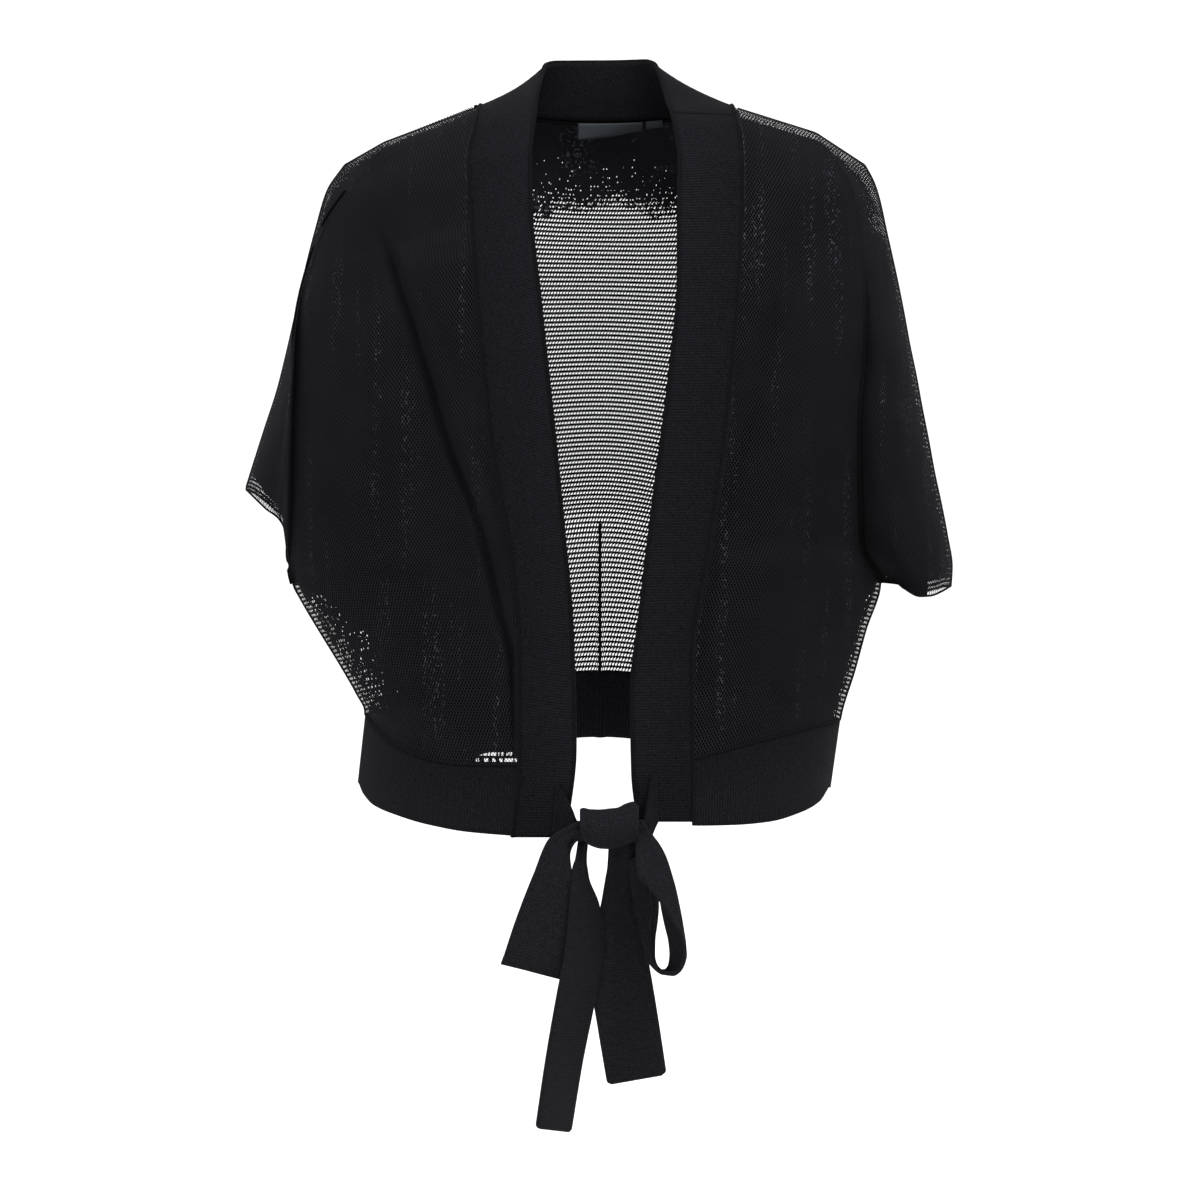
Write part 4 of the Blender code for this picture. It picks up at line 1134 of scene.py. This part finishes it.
# Radii in mm of the ridge on a plain seam, of the band's seam and its chain, and of the three at the back
PLAIN, BAND_RIDGE, CHAIN, JOIN_RIDGE, PLEAT_RIDGE, NECK_RIDGE = 0.8, 1.4, 1.3, 1.2, 1.15, 1.9
# Nudges in mm that centre a ridge on its gap
JOIN_NUDGE, BAND_NUDGE, PLEAT_NUDGE, NECK_NUDGE = [0, 0, -0.9], [0, 0.4, 0], [0, -1.0, 0], [0, -0.5, 0.2]
ridges = {}
for word, hand in (("left", LEFT), ("right", RIGHT)):
    down_sleeve, across_all = np.linspace(0, UNDERARM_SHARE, 120), np.linspace(0, 2, 160)
    down_side, across_arm = np.linspace(UNDERARM_SHARE, 1, 60), np.linspace(1, 2, 80)
    paths = {
        "overarm": cloth(FRONT, hand, np.full(120, 2.0), down_sleeve),
        "shoulder": cloth(FRONT, hand, across_all[3:], np.zeros(157)),
        "side": cloth(FRONT, hand, np.ones(60), down_side),
        "sleeve_end_front": cloth(FRONT, hand, across_arm, np.full(80, UNDERARM_SHARE)),
        "sleeve_end_back": cloth(BACK, hand, across_arm, np.full(80, UNDERARM_SHARE)),
        "hem_front": hem_grid(FRONT, hand)[:, 0] + [0, 0, SEAM],
    }
    for place, path in paths.items():
        path = path * [1, 0, 1] if place in ("overarm", "shoulder", "side") else path
        ridges[place, hand] = ridge("seam_%s_%s" % (place, word), path, PLAIN)
    grid = right_grid if hand == RIGHT else left_grid
    ridges["band", hand] = ridge("seam_band_%s" % word, grid[:, 0] + BAND_NUDGE, BAND_RIDGE)
    ridges["edge", hand] = ridge("chain_edge_%s" % word, grid[:, -1], CHAIN)
join_path = (right_grid[-1] + left_grid[0]) / 2 + JOIN_NUDGE
ridges["join", LEFT] = ridge("seam_band_join", join_path, JOIN_RIDGE)
ridges["hem", BACK] = ridge("seam_hem_back", hem_back_grid[:, 0] + [0, 0, SEAM], PLAIN)
# The edge of the pleat down the middle of the back stands up as a thin ridge in the dark seam yarn, a dark
# line that is painted shade of the pleat
PLEAT_TOP = -316
pleat_line = cloth(BACK, LEFT, np.zeros(60), np.linspace(0.7, 1, 60))
pleat_line = pleat_line[pleat_line[:, 2] < PLEAT_TOP] + PLEAT_NUDGE
ridges["pleat", BACK] = ridge("pleat_back_shade_line", pleat_line, PLEAT_RIDGE)
neck_share = np.linspace(0, 0.58, 60)
neck_half = {hand: cloth(BACK, hand, neck_share, np.zeros(60)) for hand in (LEFT, RIGHT)}
neck_path = np.concatenate([neck_half[RIGHT][::-1], neck_half[LEFT][1:]]) + NECK_NUDGE
ridges["neck", BACK] = ridge("seam_neck", neck_path, NECK_RIDGE)
print("ridges:", len(ridges))

# %% [markdown]
# ## The bare label
#
# A folded woven label is caught in the back neck seam and hangs down inside, with a small size tab next
# to it. Both are left bare here.

# %% Label and size tab
# x, z of the top, z of the bottom, and how far the bottom swings back
LABEL_ROWS = [
    (-17, -7.8, -21.0, 0.0),
    (8, -7.8, -18.0, 3.0),
    (33, -7.2, -13.6, 6.5),
]
TAB_ROWS = [
    (35, -6.8, -12.4, 2.0),
    (48, -5.8, -11.0, 2.5),
]


def label_grid(rows, columns):
    """Straight across, hanging from the neck's round y = NECK_BACK (1 - share^2)^0.5, swung back below."""
    x, top, bottom, swing = np.array(rows, float).T
    place = np.linspace(x[0], x[-1], columns + 1)
    seam = NECK_BACK * np.sqrt(1 - ((place - NECK_MIDDLE) / NECK_HALF) ** 2) - 4.6
    share = np.linspace(0, 1, 7)[:, None]
    y = seam + share**2 * np.interp(place, x, swing)
    z = np.interp(place, x, top) * (1 - share) + np.interp(place, x, bottom) * share
    return np.stack(np.broadcast_arrays(place, y, z), -1)


label = cloth_piece("bare_label", label_grid(LABEL_ROWS, 24), 0.6, toward_front, label_cloth)
tab = cloth_piece("bare_size_tab", label_grid(TAB_ROWS, 8), 0.6, toward_front, label_cloth)

# %% [markdown]
# ## The pieces on the body
#
# Each piece rides on the one body, and the solid that it stands for is hidden. The cloth pieces' flat
# sizes are printed.

# %% Attach the pieces to the body and hide their solids
stands_for = {
    "front_left_panel": [panels["knit_front_left"], grounds["ground_front_left"]],
    "front_right_panel": [panels["knit_front_right"], grounds["ground_front_right"]],
    "back_panel": [panels["knit_back_left"], panels["knit_back_right"], grounds["ground_back_top"]],
    "band_right": [band_right],
    "band_left": [band_left],
    "hem_back": [hem_back],
    "hem_left": [hem_left],
    "hem_right": [hem_right],
    "bow_loop_right": [bow["tie_loop_right"]],
    "bow_loop_left": [bow["tie_loop_left"]],
    "tail_long": [bow["tie_tail_long"]],
    "tail_wide": [bow["tie_tail_wide"]],
    "tie_start_right": [bow["tie_begin_right"]],
    "tie_start_left": [bow["tie_begin_left"]],
    "bow_knot": [bow["tie_knot"]],
    "neck_label": [label],
    "size_tab": [tab],
}
for node, pieces in stands_for.items():
    for piece in pieces:
        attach(piece, "root")
        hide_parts(node)
        slot = "label_cloth" if node in ("neck_label", "size_tab") else "rib_knit"
        "mesh_knit" if "panel" in node else slot
for piece in ridges.values():
    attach(piece, "root")

# Panels are cut to shape, so their flat area is less than width times length. The other pieces' flat
# sizes are listed and printed. The real tie is 47 mm wide all along: for its loops and starts only the
# width that shows is stated, as the folds that take up the rest aren't drawn
for piece, flat, held, pieces in (
    (band_right, (0.050, 0.833), "draped", [ridges["band", RIGHT], ridges["edge", RIGHT]]),
    (band_left, (0.046, 0.538), "draped", [ridges[place, LEFT] for place in ("band", "edge", "join")]),
    (hem_back, (0.458, 0.052), "hung", [ridges["hem", BACK]]),
    (hem_left, (0.155, 0.058), "hung", []),
    (hem_right, (0.167, 0.052), "hung", []),
    (bow["tie_loop_right"], (0.040, 0.268), "gathered", []),
    (bow["tie_loop_left"], (0.029, 0.293), "gathered", []),
    (bow["tie_tail_long"], (0.047, 0.226), "hung", []),
    (bow["tie_tail_wide"], (0.047, 0.190), "hung", []),
    (bow["tie_begin_right"], (0.022, 0.046), "gathered", []),
    (bow["tie_begin_left"], (0.020, 0.049), "gathered", []),
    (bow["tie_knot"], (0.045, 0.095), "folded", []),
    (label, (0.050, 0.0125), "hung", [tab]),
):
    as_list(pieces)
    print(piece.name, "flat", round(1000 * flat[0]), "by", round(1000 * flat[1]), "mm")

# %% [markdown]
# ## Floor and light
#
# The photograph is lit softly from all sides on pure white, so the scene has a white surround, a pale
# floor below the garment and two broad soft lamps.

# %% Surround, floor and lamps
world = bpy.data.worlds.new("white_surround")
world.use_nodes = True
world.node_tree.nodes["Background"].inputs["Color"].default_value = (1, 1, 1, 1)
world.node_tree.nodes["Background"].inputs["Strength"].default_value = 1.15
bpy.context.scene.world = world
floor_paint, tree, shader = blank("pale_matt_floor")
shader.inputs["Base Color"].default_value = linear("#F8F8F8")
shader.inputs["Roughness"].default_value = 0.9
size, height = 9000.0, -900.0
corners = size * np.array([[-1, -1, 0], [1, -1, 0], [1, 1, 0], [-1, 1, 0]]) + [0, 0, height]
floor = make_mesh("floor", corners, np.array([[0, 1, 2, 3]]), floor_paint, smooth=False)
for name, place, turn, power, wide in (
    ("lamp_front", (0.6, -1.6, 2.0), (37, 0, 20.5), 110.0, 1.8),
    ("lamp_side", (-2.2, -0.6, 0.6), (75, 0, -75), 20.0, 1.6),
):
    lamp_data = bpy.data.lights.new(name, "AREA")
    lamp_data.energy, lamp_data.size = power, wide
    lamp = bpy.data.objects.new(name, lamp_data)
    lamp.location = place
    lamp.rotation_euler = np.radians(turn)
    bpy.context.scene.collection.objects.link(lamp)
print("floor at", height, "mm")
